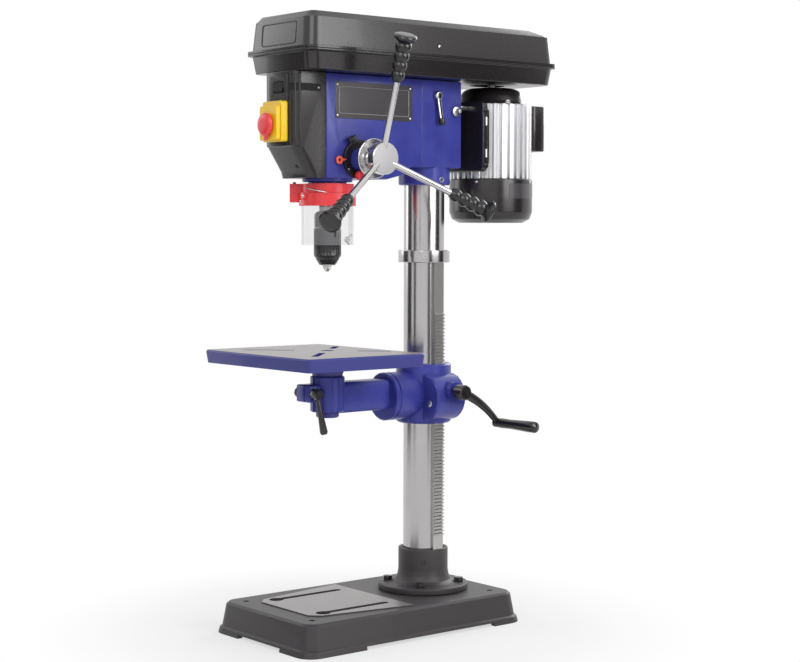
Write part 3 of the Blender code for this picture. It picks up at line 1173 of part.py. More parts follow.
def make_belt_pan():
    """Lower tray of the belt guard, with openings for the spindle, idler post and motor shaft."""
    pan = loft("belt_pan", [
        (pan_outline(PAN_SLOPE), PAN_BOTTOM), (pan_outline(0), RIM_Z - RIM_THICK - 1 * MM),
        (pan_outline(-FLANGE_OUT), RIM_Z - RIM_THICK), (pan_outline(-FLANGE_OUT), RIM_Z),
    ], "black_plastic")
    room = loft("belt_pan_room", [
        (pan_outline(PAN_SLOPE + LID_WALL), PAN_BOTTOM + PAN_FLOOR), (pan_outline(LID_WALL), RIM_Z + 9 * MM),
    ])
    spindle_hole = rod("pan_spindle_hole", 34 * MM, (0, 0, PAN_BOTTOM - 9 * MM), (0, 0, PAN_BOTTOM + 9 * MM), 16)
    slot = prism("pan_motor_slot", rounded(-22 * MM, 22 * MM, MOTOR_Y - 44 * MM, MOTOR_Y + 24 * MM, 20 * MM, 4),
                 PAN_BOTTOM - 9 * MM, PAN_BOTTOM + 9 * MM)
    cut(pan, room, spindle_hole, slot)
    post_top = PULLEY_BOTTOM + PULLEY_STEPS * PULLEY_PITCH + 2 * MM
    post = turned("pan_idler_post", [
        (20 * MM, PAN_BOTTOM + 1 * MM), (20 * MM, PAN_BOTTOM + PAN_FLOOR + 4 * MM), (7 * MM, PULLEY_BOTTOM - 2 * MM),
        (7 * MM, post_top),
    ], (0, IDLER_Y, 0), sides=12)
    return join(pan, post)


def make_belt_lid():
    """Hinged lid of the belt guard, with a raised plateau."""
    low = RIM_Z + GAP
    half = PAN_WIDTH / 2
    plateau = rounded(-half + 16 * MM, half - 16 * MM, PAN_FRONT + 16 * MM, PAN_BACK - 50 * MM, 8 * MM, 4)
    lid = loft("belt_lid", [
        (pan_outline(-FLANGE_OUT), low), (pan_outline(-FLANGE_OUT), low + RIM_THICK),
        (pan_outline(0), low + RIM_THICK + 1 * MM), (pan_outline(PAN_SLOPE), LID_SHOULDER - 3 * MM),
        (pan_outline(PAN_SLOPE + 3 * MM), LID_SHOULDER), (plateau, LID_TOP),
    ], "black_plastic")
    room = loft("belt_lid_room", [
        (pan_outline(LID_WALL), low - 9 * MM), (pan_outline(LID_WALL), low + RIM_THICK),
        (pan_outline(PAN_SLOPE + 2 * LID_WALL), LID_SHOULDER - LID_WALL),
    ])
    return cut(lid, room)


def pulley_profile(radii, bottom, bore):
    """Stepped V pulley as (radius, height) points from the bottom step up."""
    points = [(bore, bottom)]
    for i, radius in enumerate(radii):
        z = bottom + i * PULLEY_PITCH
        middle = z + PULLEY_PITCH / 2
        points += [(radius, z), (radius - GROOVE_DEPTH, middle - 2 * MM), (radius - GROOVE_DEPTH, middle + 2 * MM),
                   (radius, z + PULLEY_PITCH)]
    top = bottom + len(radii) * PULLEY_PITCH
    points.append((bore, top))
    return points


def make_pulley(name, radii, y, bore):
    """A four-step pulley around its shaft."""
    return turned(name, pulley_profile(radii, PULLEY_BOTTOM, bore), (0, y, 0), sides=20, finish="aluminium", ring=True)


def make_belt(name, first, second, step):
    """V belt round two pulleys, lying in the grooves of one step."""
    (y0, radii0), (y1, radii1) = first, second
    sink = 1.2 * MM
    outer0, outer1 = radii0[step] - sink, radii1[step] - sink
    z = PULLEY_BOTTOM + (step + 0.5) * PULLEY_PITCH
    lean = math.asin((outer0 - outer1) / (y1 - y0))
    wrap = 14
    path = [(y0, outer0, math.pi - lean + (math.pi + 2 * lean) * i / wrap) for i in range(wrap + 1)]
    path += [(y1, outer1, lean + (math.pi - 2 * lean) * i / wrap) for i in range(wrap + 1)]
    half = BELT_WIDTH / 2
    section = ((0, half), (0, -half), (-BELT_HEIGHT, -0.4 * half), (-BELT_HEIGHT, 0.4 * half))
    rings = []
    for centre, outer, a in path:
        rings.append([((outer + depth) * math.cos(a), centre + (outer + depth) * math.sin(a), z + height)
                      for depth, height in section])
    return object_from(name, skin(rings, loop=True), "black_rubber")


# ---------------------------------------------------------------- motor
def make_motor_bracket():
    """Plate between head and motor, with a saddle that follows the motor's round body."""
    back = PLATE_FRONT + PLATE_THICK
    plate = prism("motor_bracket", rounded(-PLATE_HALF, PLATE_HALF, PLATE_BOTTOM, PLATE_TOP, 10 * MM, 3),
                  PLATE_FRONT, back, "Y", "black_plastic")
    soften(plate, 1.5 * MM, 1)
    saddle = block("motor_saddle", (-SADDLE_HALF, SADDLE_HALF), (back - 3 * MM, back + 28 * MM),
                   (PLATE_BOTTOM + 14 * MM, PLATE_TOP - 14 * MM))
    join(plate, saddle)
    room = rod("motor_saddle_room", MOTOR_DIAMETER + 4 * GAP, (0, MOTOR_Y, PLATE_BOTTOM - 9 * MM),
               (0, MOTOR_Y, PLATE_TOP + 9 * MM), 60)
    cut(plate, room)
    for sign in (-1, 1):
        cut(plate, rod(f"plate_rod_hole_{sign}", ROD_DIAMETER + 2 * GAP, (sign * ROD_X, PLATE_FRONT - 9 * MM, ROD_Z),
                       (sign * ROD_X, back - 3 * MM, ROD_Z), 12))
    return plate


def make_slide_rod(name, sign):
    """Rod that carries the motor bracket and slides in the head."""
    return rod(name, ROD_DIAMETER, (sign * ROD_X, ROD_START, ROD_Z),
               (sign * ROD_X, PLATE_FRONT + PLATE_THICK - 3 * MM - GAP, ROD_Z), 12, "chrome", 1 * MM)


def make_motor_case():
    """Finned aluminium body with its domed top, open underneath."""
    outer, root = MOTOR_DIAMETER / 2, MOTOR_DIAMETER / 2 - FIN_DEPTH
    outline = []
    for i in range(FIN_COUNT):
        middle = 2 * math.pi * i / FIN_COUNT
        step = 2 * math.pi / FIN_COUNT
        for radius, share in ((root, -0.3), (outer, -0.17), (outer, 0.17), (root, 0.3)):
            a = middle + share * step
            outline.append((radius * math.cos(a), MOTOR_Y + radius * math.sin(a)))
    case = prism("motor_case", outline, MOTOR_BODY_BOTTOM, MOTOR_BODY_TOP, "Z", "aluminium")
    bell = turned("motor_bell", [
        (outer - 9 * MM, MOTOR_BODY_TOP - 10 * MM), (outer - 12.5 * MM, MOTOR_BODY_TOP + 4 * MM), (outer - 17 * MM, MOTOR_BODY_TOP + 17 * MM),
        (outer - 23 * MM, MOTOR_BODY_TOP + 26 * MM), (outer - 32 * MM, MOTOR_BELL_TOP - 2 * MM), (18 * MM, MOTOR_BELL_TOP), (0, MOTOR_BELL_TOP),
    ], (0, MOTOR_Y, 0), sides=24)
    join(case, bell)
    room = rod("motor_room", 2 * (root - 8 * MM), (0, MOTOR_Y, MOTOR_BODY_BOTTOM - 9 * MM), (0, MOTOR_Y, MOTOR_BODY_TOP - 2 * MM), 20)
    hole = rod("motor_shaft_hole", MOTOR_SHAFT_DIAMETER + 2 * GAP, (0, MOTOR_Y, MOTOR_BODY_TOP - 9 * MM),
               (0, MOTOR_Y, MOTOR_BELL_TOP + 9 * MM), 12)
    return cut(case, room, hole)


def make_fan_cover():
    """Black fan cover under the motor, with a round grille hole at the bottom."""
    outer = FAN_COVER_DIAMETER / 2
    wall = 3 * MM
    low, top = FAN_COVER_BOTTOM, MOTOR_BODY_BOTTOM - GAP
    return turned("fan_cover", [
        (outer, top), (outer, low + 20 * MM), (outer - 5 * MM, low + 7 * MM), (outer - 18 * MM, low), (26 * MM, low),
        (26 * MM, low + wall), (outer - 19 * MM, low + wall), (outer - 5 * MM - wall, low + 9 * MM), (outer - wall, low + 21 * MM),
        (outer - wall, top),
    ], (0, MOTOR_Y, 0), sides=26, finish="black_plastic", ring=True)


def make_motor_rotor():
    """Rotor with its shaft and the cooling fan below."""
    shaft = MOTOR_SHAFT_DIAMETER / 2
    low = FAN_COVER_BOTTOM + 16 * MM
    top = PULLEY_BOTTOM + PULLEY_STEPS * PULLEY_PITCH + 4 * MM
    return turned("motor_rotor", [
        (shaft, low), (50 * MM, low + 4 * MM), (54 * MM, low + 12 * MM), (24 * MM, low + 16 * MM), (shaft, low + 18 * MM),
        (shaft, MOTOR_BODY_BOTTOM + 14 * MM), (38 * MM, MOTOR_BODY_BOTTOM + 16 * MM), (38 * MM, MOTOR_BODY_TOP - 26 * MM),
        (shaft, MOTOR_BODY_TOP - 24 * MM), (shaft, top - 1 * MM), (shaft - 1 * MM, top),
    ], (0, MOTOR_Y, 0), sides=18, finish="steel")


def make_terminal_box():
    """Terminal box on the back of the motor."""
    front = MOTOR_Y + MOTOR_DIAMETER / 2 + GAP
    box = prism("terminal_box", rounded(-32 * MM, 32 * MM, front, front + 34 * MM, 8 * MM, 4), 796 * MM, 880 * MM, "Z",
                "black_plastic")
    return soften(box, 2 * MM, 2)


def make_tension_lever():
    """Lever on the right of the head that pushes the motor bracket back."""
    pivot = Vector((HEAD_HALF + GAP, 206 * MM, 886.5 * MM))
    lever = turned("tension_lever", [
        (4 * MM, -22 * MM), (4 * MM, 0), (8 * MM, 0), (8 * MM, 7 * MM), (6.5 * MM, 9 * MM),
    ], pivot, (1, 0, 0), 12, "chrome")
    bar = rod("tension_lever_bar", 9 * MM, pivot + Vector((5 * MM, 0, 0)), pivot + Vector((9 * MM, 6 * MM, -52 * MM)), 12)
    tip = turned("tension_lever_tip", [
        (5 * MM, 0), (6 * MM, 2 * MM), (6 * MM, 12 * MM), (3.5 * MM, 14 * MM), (0, 14 * MM),
    ], pivot + Vector((8.5 * MM, 5.3 * MM, -46 * MM)), (4, 6, -52), 12)
    return join(lever, bar, tip)


def make_slide_lock():
    """Screw that locks the slide rods in the head."""
    at = Vector((HEAD_HALF + GAP, 249 * MM, 860 * MM))
    return turned("slide_lock_screw", [
        (9 * MM, 0), (9 * MM, 5 * MM), (4 * MM, 6 * MM), (4 * MM, 14 * MM), (3 * MM, 15 * MM), (0, 15 * MM),
    ], at, (1, 0, 0), 12, "steel")


# ---------------------------------------------------------------- assembly
def clear_scene():
    for old in list(bpy.data.objects):
        bpy.data.objects.remove(old)


def build():
    clear_scene()
    make_base()
    make_column_flange()
    make_column()
    make_rack()
    make_rack_collar()
    make_table_bracket()
    make_lift_gear()
    make_crank()
    make_crank_grip()
    make_column_lock_lever()
    make_table_arm()
    make_tilt_bolt()
    make_table()
    make_table_lock_lever()
    make_head_casting()
    make_front_cover()
    make_lamp_rocker()
    make_switch_box()
    make_button("start_button", MUSHROOM_Z + 19.5 * MM, "green_plastic")
    make_switch_flap()
    make_stop_knob()
    make_spring_cap()
    make_quill()
    make_bearing("spindle_bearing", QUILL_BOTTOM)
    make_spindle()
    make_chuck_body()
    make_chuck_sleeve()
    for i in range(3):
        make_jaw(i)
    make_pinion_shaft()
    make_feed_hub()
    for i in range(3):
        make_spoke(i)
        make_grip(i)
    make_depth_ring()
    make_depth_lock_knob()
    make_quill_lock_knob()
    make_guard_collar()
    make_guard_drum()
    make_chuck_shield()
    make_belt_pan()
    make_belt_lid()
    make_pulley("spindle_pulley", SPINDLE_PULLEY_RADII, 0, SPINDLE_DIAMETER / 2 + GAP)
    make_pulley("idler_pulley", IDLER_PULLEY_RADII, IDLER_Y, 7 * MM + GAP)
    make_pulley("motor_pulley", MOTOR_PULLEY_RADII, MOTOR_Y, MOTOR_SHAFT_DIAMETER / 2 + GAP)
    make_belt("front_belt", (0, SPINDLE_PULLEY_RADII), (IDLER_Y, IDLER_PULLEY_RADII), FRONT_BELT_STEP)
    make_belt("back_belt", (IDLER_Y, IDLER_PULLEY_RADII), (MOTOR_Y, MOTOR_PULLEY_RADII), BACK_BELT_STEP)
    make_motor_bracket()
    make_slide_rod("slide_rod_left", -1)
    make_slide_rod("slide_rod_right", 1)
    make_motor_case()
    make_fan_cover()
    make_motor_rotor()
    make_terminal_box()
    make_tension_lever()
    make_slide_lock()


build()
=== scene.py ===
# %% [markdown]
# # A bench drill press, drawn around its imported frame
# The frame holds the drill press as sixty CAD solids, already in place and grouped into the bodies that move.
# The looks are built around it: each visible solid gets a finish, and those that need finer shape are replaced.
# The frame is in metres, +Z is up, the front is -Y and the operator's right hand is +X.
# %% Load the frame
import json
import math
from collections import namedtuple

import bmesh
import bpy
import numpy as np
from mathutils import Euler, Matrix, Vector

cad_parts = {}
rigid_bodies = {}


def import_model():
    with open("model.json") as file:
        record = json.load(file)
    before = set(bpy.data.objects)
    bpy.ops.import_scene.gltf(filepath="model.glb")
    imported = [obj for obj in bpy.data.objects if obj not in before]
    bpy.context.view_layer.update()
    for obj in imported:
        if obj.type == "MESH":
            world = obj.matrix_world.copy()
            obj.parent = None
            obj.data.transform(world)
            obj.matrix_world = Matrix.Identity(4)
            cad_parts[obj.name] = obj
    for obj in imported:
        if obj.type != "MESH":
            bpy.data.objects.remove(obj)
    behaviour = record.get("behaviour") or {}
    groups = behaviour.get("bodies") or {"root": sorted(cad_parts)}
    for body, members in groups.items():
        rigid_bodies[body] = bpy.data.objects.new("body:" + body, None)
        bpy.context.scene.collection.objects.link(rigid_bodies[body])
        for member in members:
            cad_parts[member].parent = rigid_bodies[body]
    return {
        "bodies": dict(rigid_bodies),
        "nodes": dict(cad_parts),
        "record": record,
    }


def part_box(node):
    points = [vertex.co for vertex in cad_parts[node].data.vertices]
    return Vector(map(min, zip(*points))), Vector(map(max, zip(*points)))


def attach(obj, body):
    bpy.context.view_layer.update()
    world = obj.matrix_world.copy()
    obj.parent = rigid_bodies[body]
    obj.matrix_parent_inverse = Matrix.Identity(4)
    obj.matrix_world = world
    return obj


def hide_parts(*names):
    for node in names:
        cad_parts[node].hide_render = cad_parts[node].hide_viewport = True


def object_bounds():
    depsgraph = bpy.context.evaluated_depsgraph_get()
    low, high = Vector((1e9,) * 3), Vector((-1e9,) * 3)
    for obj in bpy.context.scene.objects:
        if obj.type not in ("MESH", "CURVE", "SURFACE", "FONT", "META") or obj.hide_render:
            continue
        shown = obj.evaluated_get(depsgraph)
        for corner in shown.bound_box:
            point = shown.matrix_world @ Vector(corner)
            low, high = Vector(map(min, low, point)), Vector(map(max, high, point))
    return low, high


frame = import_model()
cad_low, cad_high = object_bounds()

MM = 0.001
nodes, bodies = frame["nodes"], frame["bodies"]
record = frame["record"]
body_of = {node: body for body, members in record["behaviour"]["bodies"].items() for node in members}
slot_of = {part["node"]: part["material_slot"] for part in record["subparts"]}
print("frame:", len(nodes), "nodes on", len(bodies), "bodies, height", round(cad_high.z - cad_low.z, 4))

# %% [markdown]
# ## Camera
# The machine is seen from its right front, a little above the middle of the column, with a long lens, so that
# uprights stay nearly parallel. A camera could be turned with three angles by trial. Here a direction is written
# as azimuth and pitch, and a small roll is added, which keeps the aim readable.
# %% Camera
AZIMUTH, PITCH, ROLL = math.radians(50.99), math.radians(3.29), math.radians(0.137)
STANDPOINT, FOCAL_LENGTH, SENSOR_WIDTH = (2.4547, -1.8267, 0.6495), 79.515, 36


def place(name, data):
    """New object at the origin, linked to the scene."""
    made = bpy.data.objects.new(name, data)
    bpy.context.scene.collection.objects.link(made)
    return made


looking = Vector((-math.sin(AZIMUTH) * math.cos(PITCH), math.cos(AZIMUTH) * math.cos(PITCH), -math.sin(PITCH)))
lens = bpy.data.cameras.new("studio_camera")
lens.lens, lens.sensor_width = FOCAL_LENGTH, SENSOR_WIDTH
camera = place("studio_camera", lens)
camera.location = STANDPOINT
turn = looking.to_track_quat("-Z", "Y") @ Euler((0, 0, ROLL)).to_quaternion()
camera.rotation_euler = turn.to_euler()
bpy.context.scene.camera = camera
bpy.context.scene.view_settings.view_transform = "Standard"
print("lens", round(lens.lens, 1), "mm")

# %% [markdown]
# ## Studio
# The machine stands on a plain pale floor in front of white. The floor could simply be bright, but then its light
# would wash out the casting above it. So the floor keeps a plain albedo for light that bounces, takes the shadow
# near the feet, and fades to white only for rays from the camera, reflections and clear plastic.
# %% Floor and background
WHITE, FLOOR_ALBEDO = (1, 1, 1, 1), (0.9, 0.9, 0.9, 1)
SEEING_RAYS = ("Is Camera Ray", "Is Glossy Ray", "Is Transmission Ray")
FLOOR_REACH, FLOOR_DROP = 30.0, 0.0002
FADE_MIDDLE_Y, FADE_FROM, FADE_TO, WHITE_UNDER_MACHINE = 0.09, 0.28, 0.62, 0.62
AIR_COLOUR, AIR_STRENGTH = (0.97, 0.97, 1.0, 1), 0.34


def seeing(tree):
    """Largest of the Light Path flags: 1 where the ray is of any of the kinds that see the background."""
    path = tree.nodes.new("ShaderNodeLightPath")
    total = None
    for output in SEEING_RAYS:
        if total is None:
            total = path.outputs[output]
            continue
        either = tree.nodes.new("ShaderNodeMath")
        either.operation = "MAXIMUM"
        tree.links.new(total, either.inputs[0])
        tree.links.new(path.outputs[output], either.inputs[1])
        total = either.outputs[0]
    return total


def studio_floor(level):
    """Plain diffuse near the machine; white for seeing rays farther out, by a smooth ramp of distance."""
    paint = bpy.data.materials.new("studio_floor")
    paint.use_nodes = True
    tree = paint.node_tree
    tree.nodes.clear()
    out, mix = tree.nodes.new("ShaderNodeOutputMaterial"), tree.nodes.new("ShaderNodeMixShader")
    plain, glow = tree.nodes.new("ShaderNodeBsdfDiffuse"), tree.nodes.new("ShaderNodeEmission")
    plain.inputs["Color"].default_value, glow.inputs["Color"].default_value = FLOOR_ALBEDO, WHITE
    where, length = tree.nodes.new("ShaderNodeTexCoord"), tree.nodes.new("ShaderNodeVectorMath")
    length.operation = "LENGTH"
    move = tree.nodes.new("ShaderNodeVectorMath")
    move.operation, move.inputs[1].default_value = "SUBTRACT", (0, FADE_MIDDLE_Y, level)
    ramp = tree.nodes.new("ShaderNodeMapRange")
    ramp.interpolation_type = "SMOOTHSTEP"
    ramp.inputs[1].default_value, ramp.inputs[2].default_value = FADE_FROM, FADE_TO
    ramp.inputs[3].default_value, ramp.inputs[4].default_value = WHITE_UNDER_MACHINE, 1.0
    factor = tree.nodes.new("ShaderNodeMath")
    factor.operation = "MULTIPLY"
    for a, b in ((where.outputs["Object"], move.inputs[0]), (move.outputs[0], length.inputs[0]),
                 (length.outputs["Value"], ramp.inputs[0]), (ramp.outputs[0], factor.inputs[0]),
                 (seeing(tree), factor.inputs[1]), (factor.outputs[0], mix.inputs[0]),
                 (plain.outputs[0], mix.inputs[1]), (glow.outputs[0], mix.inputs[2]), (mix.outputs[0], out.inputs[0])):
        tree.links.new(a, b)
    mesh = bpy.data.meshes.new("studio_floor")
    corners = [(x * FLOOR_REACH, y * FLOOR_REACH, level) for x, y in ((-1, -1), (1, -1), (1, 1), (-1, 1))]
    mesh.from_pydata(corners, [], [(0, 1, 2, 3)])
    mesh.materials.append(paint)
    return place("studio_floor", mesh)


floor = studio_floor(cad_low.z - FLOOR_DROP)
world = bpy.data.worlds.new("studio_air")
world.use_nodes = True
bpy.context.scene.world = world
air = world.node_tree
soft, bright = air.nodes["Background"], air.nodes.new("ShaderNodeBackground")
blend = air.nodes.new("ShaderNodeMixShader")
soft.inputs[0].default_value, soft.inputs[1].default_value = AIR_COLOUR, AIR_STRENGTH
bright.inputs[0].default_value, bright.inputs[1].default_value = WHITE, 1.0
for a, b in ((seeing(air), blend.inputs[0]), (soft.outputs[0], blend.inputs[1]), (bright.outputs[0], blend.inputs[2]),
             (blend.outputs[0], air.nodes["World Output"].inputs[0])):
    air.links.new(a, b)
print("floor at", round(floor.data.vertices[0].co.z, 4))

# %% [markdown]
# ## Lamps and flags
# White all round makes chrome look like white paper, because it has nothing dark to mirror. The lamps could be made
# smaller and harsher, but in a studio, black cards called flags are set beside the subject instead. Four tall flags
# are seen only by reflections, so they draw the dark bands down the column and cast no shadow.
# %% Lamps and flags
MACHINE_Y, FLAG_LOW, FLAG_HIGH, FLAG_GREY = 0.15, -0.05, 1.3, 0.012


def lamp(name, at, aim_height, size, watts):
    """Square area lamp aimed at the machine at some height."""
    data = bpy.data.lights.new(name, "AREA")
    data.size, data.energy = size, watts
    made = place(name, data)
    made.location = at
    made.rotation_euler = (Vector((0, MACHINE_Y, aim_height)) - Vector(at)).to_track_quat("-Z", "Y").to_euler()


def flag(name, azimuth, distance, width):
    """Upright dark card facing the machine, at an azimuth from +X about the column."""
    a = math.radians(azimuth)
    middle = np.array([distance * math.cos(a), MACHINE_Y + distance * math.sin(a)])
    side = np.array([-math.sin(a), math.cos(a)]) * width / 2
    corners = [(*(middle + sign * side), z) for sign, z in (
        (-1, FLAG_LOW), (1, FLAG_LOW), (1, FLAG_HIGH), (-1, FLAG_HIGH))]
    mesh = bpy.data.meshes.new(name)
    mesh.from_pydata(corners, [], [(0, 1, 2, 3)])
    dark = bpy.data.materials.new(name)
    dark.use_nodes = True
    shader = dark.node_tree.nodes["Principled BSDF"]
    for key, value in {"Base Color": (*[FLAG_GREY] * 3, 1), "Roughness": 1.0, "Specular IOR Level": 0.0}.items():
        shader.inputs[key].default_value = value
    mesh.materials.append(dark)
    card = place(name, mesh)
    card.visible_camera = card.visible_diffuse = card.visible_shadow = card.visible_transmission = False


for name, at, aim_height, size, watts in (
        ("key_lamp", (1.6, -2.2, 2.3), 0.45, 1.6, 25), ("side_lamp", (2.9, 0.7, 1.7), 0.7, 1.8, 50),
        ("left_lamp", (-2.6, -1.6, 1.5), 0.45, 1.8, 18), ("back_lamp", (-0.8, 2.8, 1.8), 0.45, 1.6, 30)):
    lamp(name, at, aim_height, size, watts)
for name, azimuth, distance, width in (("flag_near_right", -8, 2.0, 0.55), ("flag_far_right", 44, 1.8, 0.9),
                                       ("flag_left", -92, 2.2, 0.5), ("flag_far_left", -130, 2.0, 1.1)):
    flag(name, azimuth, distance, width)
print("lamps and flags set")

# %% [markdown]
# ## Socket arithmetic
# Node trees are easier to read as sums than as a list of wires. A small class wraps a socket and overloads the
# arithmetic operators, so `1 - mask * 0.5` adds the two Math nodes by itself. Every other node comes from one
# method, which takes the node's type, its settings and the values or links of its sockets.
# %% Socket arithmetic
class Wire:
    """An output socket that takes part in Python arithmetic."""

    def __init__(self, finish, socket):
        self.finish, self.socket = finish, socket

    def math(self, operation, *others):
        return self.finish.add("ShaderNodeMath", {"operation": operation}, dict(enumerate((self, *others))))

    def __add__(self, other):
        return self.math("ADD", other)

    def __mul__(self, other):
        return self.math("MULTIPLY", other)

    def __sub__(self, other):
        return self.math("SUBTRACT", other)

    def __rsub__(self, other):
        return self.finish.add("ShaderNodeMath", {"operation": "SUBTRACT"}, {0: other, 1: self})

    def __gt__(self, other):
        return self.math("GREATER_THAN", other)

    def __lt__(self, other):
        return self.math("LESS_THAN", other)

    __radd__, __rmul__ = __add__, __mul__


class Finish:
    """A Principled material that is written as a few lines of arithmetic."""

    def __init__(self, name, colour, roughness, metallic=0.0, **fixed):
        self.material = bpy.data.materials.new(name)
        self.material.use_nodes = True
        self.tree = self.material.node_tree
        self.shader = self.tree.nodes["Principled BSDF"]
        self.material.diffuse_color = (*colour, 1)
        for key, value in {"Base Color": (*colour, 1), "Roughness": roughness, "Metallic": metallic, **fixed}.items():
            self.shader.inputs[key].default_value = value
        self.place = self.add("ShaderNodeTexCoord", {}, {}, "Object")

    def add(self, kind, settings, inputs, output=0):
        node = self.tree.nodes.new(kind)
        for key, value in settings.items():
            setattr(node, key, value)
        for key, value in inputs.items():
            self.feed(node.inputs[key], value)
        return Wire(self, node.outputs[output])

    def feed(self, socket, value):
        if isinstance(value, Wire):
            self.tree.links.new(value.socket, socket)
        else:
            socket.default_value = value

    def set(self, **sockets):
        for key, value in sockets.items():
            self.feed(self.shader.inputs[key.replace("_", " ")], value)

    def noise(self, scale, detail=2.0, stretch=None):
        """Noise on Object coordinates, stretched by a factor along each axis."""
        where = self.place
        if stretch:
            where = self.add("ShaderNodeMapping", {}, {"Vector": where, "Scale": stretch})
        return self.add("ShaderNodeTexNoise", {}, {"Vector": where, "Scale": scale, "Detail": detail})

    def axis(self, name):
        return self.add("ShaderNodeSeparateXYZ", {}, {0: self.place}, name)

    def mix(self, factor, first, second):
        """Colour mix; a plain colour is given as three numbers."""
        first, second = ((*c, 1) if isinstance(c, tuple) else c for c in (first, second))
        return self.add("ShaderNodeMix", {"data_type": "RGBA"}, {0: factor, 6: first, 7: second}, 2)

    def spread(self, value, low, high, to_low, to_high):
        """A straight map of low..high onto to_low..to_high, clamped at both ends."""
        return self.add("ShaderNodeMapRange", {}, dict(enumerate((value, low, high, to_low, to_high))))

    def bump(self, height, depth, strength=1.0):
        """Relief whose full height difference is depth, in metres."""
        self.set(Normal=self.add("ShaderNodeBump", {}, {"Height": height, "Distance": depth, "Strength": strength}))


finishes = {}
print("socket arithmetic ready")

# %% [markdown]
# ## Paints
# The head, table and bracket are rough castings under a thick blue enamel. The enamel is smooth and wet-looking,
# but the sand-cast surface swells gently beneath it. So the coat is glossy, and two sizes of relief lie under it:
# a shallow swell some centimetres across and a fine orange peel. The base wears a darker, duller paint.
# %% Blue enamel and dark casting paint
def enamel():
    """Colour = deep blue mixed with a lighter blue by a slow noise; relief = slow swell + fine peel."""
    paint = Finish("blue_enamel", (0.05, 0.056, 0.32), 0.4, **{
        "Coat Roughness": 0.12, "Coat Weight": 0.18, "Specular IOR Level": 0.3})
    swell, peel = paint.noise(26.0), paint.noise(420.0)
    slow = paint.spread(swell, 0.35, 0.65, 0.0, 1.0)
    paint.set(Base_Color=paint.mix(slow, (0.04, 0.045, 0.29), (0.052, 0.06, 0.34)),
              Roughness=paint.spread(peel, 0.3, 0.7, 0.3, 0.4))
    paint.bump(swell * 0.8 + peel * 0.2, 0.9 * MM, 0.5)
    return paint


def dark_paint():
    """Colour = warm dark grey with lighter grains; relief = sandy grain of about a millimetre."""
    paint = Finish("dark_casting_paint", (0.046, 0.04, 0.043), 0.5, **{"Coat Weight": 0.1, "Coat Roughness": 0.35})
    grain, patch = paint.noise(700.0, 3.0), paint.noise(18.0)
    paint.set(Base_Color=paint.mix(patch * 0.5 + grain * 0.5, (0.03, 0.0255, 0.028), (0.047, 0.041, 0.044)),
              Roughness=paint.spread(grain, 0.3, 0.7, 0.44, 0.6))
    paint.bump(grain, 0.25 * MM, 0.5)
    return paint


finishes["blue_paint"], finishes["cast_dark"] = enamel(), dark_paint()
print("paints:", ", ".join(finishes))

# %% [markdown]
# ## Ground metal on a painted casting
# The table top and the pad on the base are ground after painting, so bright steel meets paint at a sharp line on
# the same casting. They could be separate plates, but a ground face has no thickness of its own. One material
# therefore asks how high the point is: above the line it is ground steel with fine cutter lines, below it is paint.
# %% Ground faces
def ground_casting(name, line, paint, rough, lines):
    """Finish = ground steel where Object Z is above the line, paint elsewhere; lines stretches the cutter marks."""
    made = Finish(name, paint, rough)
    top = made.axis("Z") > line
    marks, cloud, grain = made.noise(40.0, 3.0, lines), made.noise(30.0, 3.0), made.noise(500.0)
    steel = made.mix(marks * 0.6 + cloud * 0.4, (0.22, 0.205, 0.205), (0.36, 0.335, 0.335))
    made.set(Base_Color=made.mix(top, paint, steel), Metallic=top * 0.55,
             Roughness=top * (marks * 0.25 + 0.22) + (1 - top) * rough, Coat_Weight=(1 - top) * 0.1)
    made.bump(top * marks * 0.3 + (1 - top) * grain, 0.15 * MM, 0.4)
    return made


GROUND_DEPTH = 0.25 * MM
table_top, pad_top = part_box("table")[1].z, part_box("base")[1].z
finishes["ground_table"] = ground_casting("ground_table", table_top - GROUND_DEPTH, (0.032, 0.036, 0.23), 0.45,
                                          (60.0, 0.6, 1.0))
finishes["ground_base"] = ground_casting("ground_base", pad_top - GROUND_DEPTH, (0.036, 0.031, 0.034), 0.5,
                                         (0.6, 60.0, 1.0))
print("ground above", round(table_top, 4), "and", round(pad_top, 4))

# %% [markdown]
# ## Bare and plated metal
# The hub and spokes are plated and nearly mirror-bright, the column is finely ground, turned steel shows rings round
# its axis, and the motor body is extruded aluminium, pale and a little grainy. The marks could be painted pictures,
# but a noise that is squeezed along one axis turns into lines by itself, and one left alone turns into grain.
# %% Metals
def tint(colour, factor):
    return tuple(min(1.0, c * factor) for c in colour)


def metal(name, colour, rough, stretch, depth, spread):
    """Roughness = base value + spread times a noise drawn out along the working direction; relief follows it."""
    made = Finish(name, colour, rough, 1.0)
    marks, cloud = made.noise(60.0, 3.0, stretch), made.noise(22.0)
    made.set(Roughness=marks * spread + (rough - 0.5 * spread),
             Base_Color=made.mix(cloud, tint(colour, 0.93), tint(colour, 1.06)))
    made.bump(marks, depth, 0.35)
    return made


for finish, *recipe in (
        ("chrome", "bright_chrome", (0.62, 0.61, 0.61), 0.15, (1.0, 1.0, 8.0), 0.02 * MM, 0.06),
        ("steel", "turned_steel", (0.54, 0.53, 0.52), 0.34, (1.0, 1.0, 50.0), 0.05 * MM, 0.12),
        ("aluminium", "cast_aluminium", (0.74, 0.74, 0.755), 0.45, (6.0, 6.0, 1.0), 0.06 * MM, 0.12),
        ("brushed_face", "brushed_face", (0.48, 0.47, 0.48), 0.6, (30.0, 1.0, 30.0), 0.03 * MM, 0.1),
        ("dark_steel", "blackened_steel", (0.13, 0.125, 0.13), 0.26, (1.0, 1.0, 40.0), 0.02 * MM, 0.12),
        ("column_steel", "ground_column", (0.47, 0.455, 0.46), 0.2, (1.0, 1.0, 45.0), 0.02 * MM, 0.08)):
    finishes[finish] = metal(*recipe)
print("metals:", len(finishes))

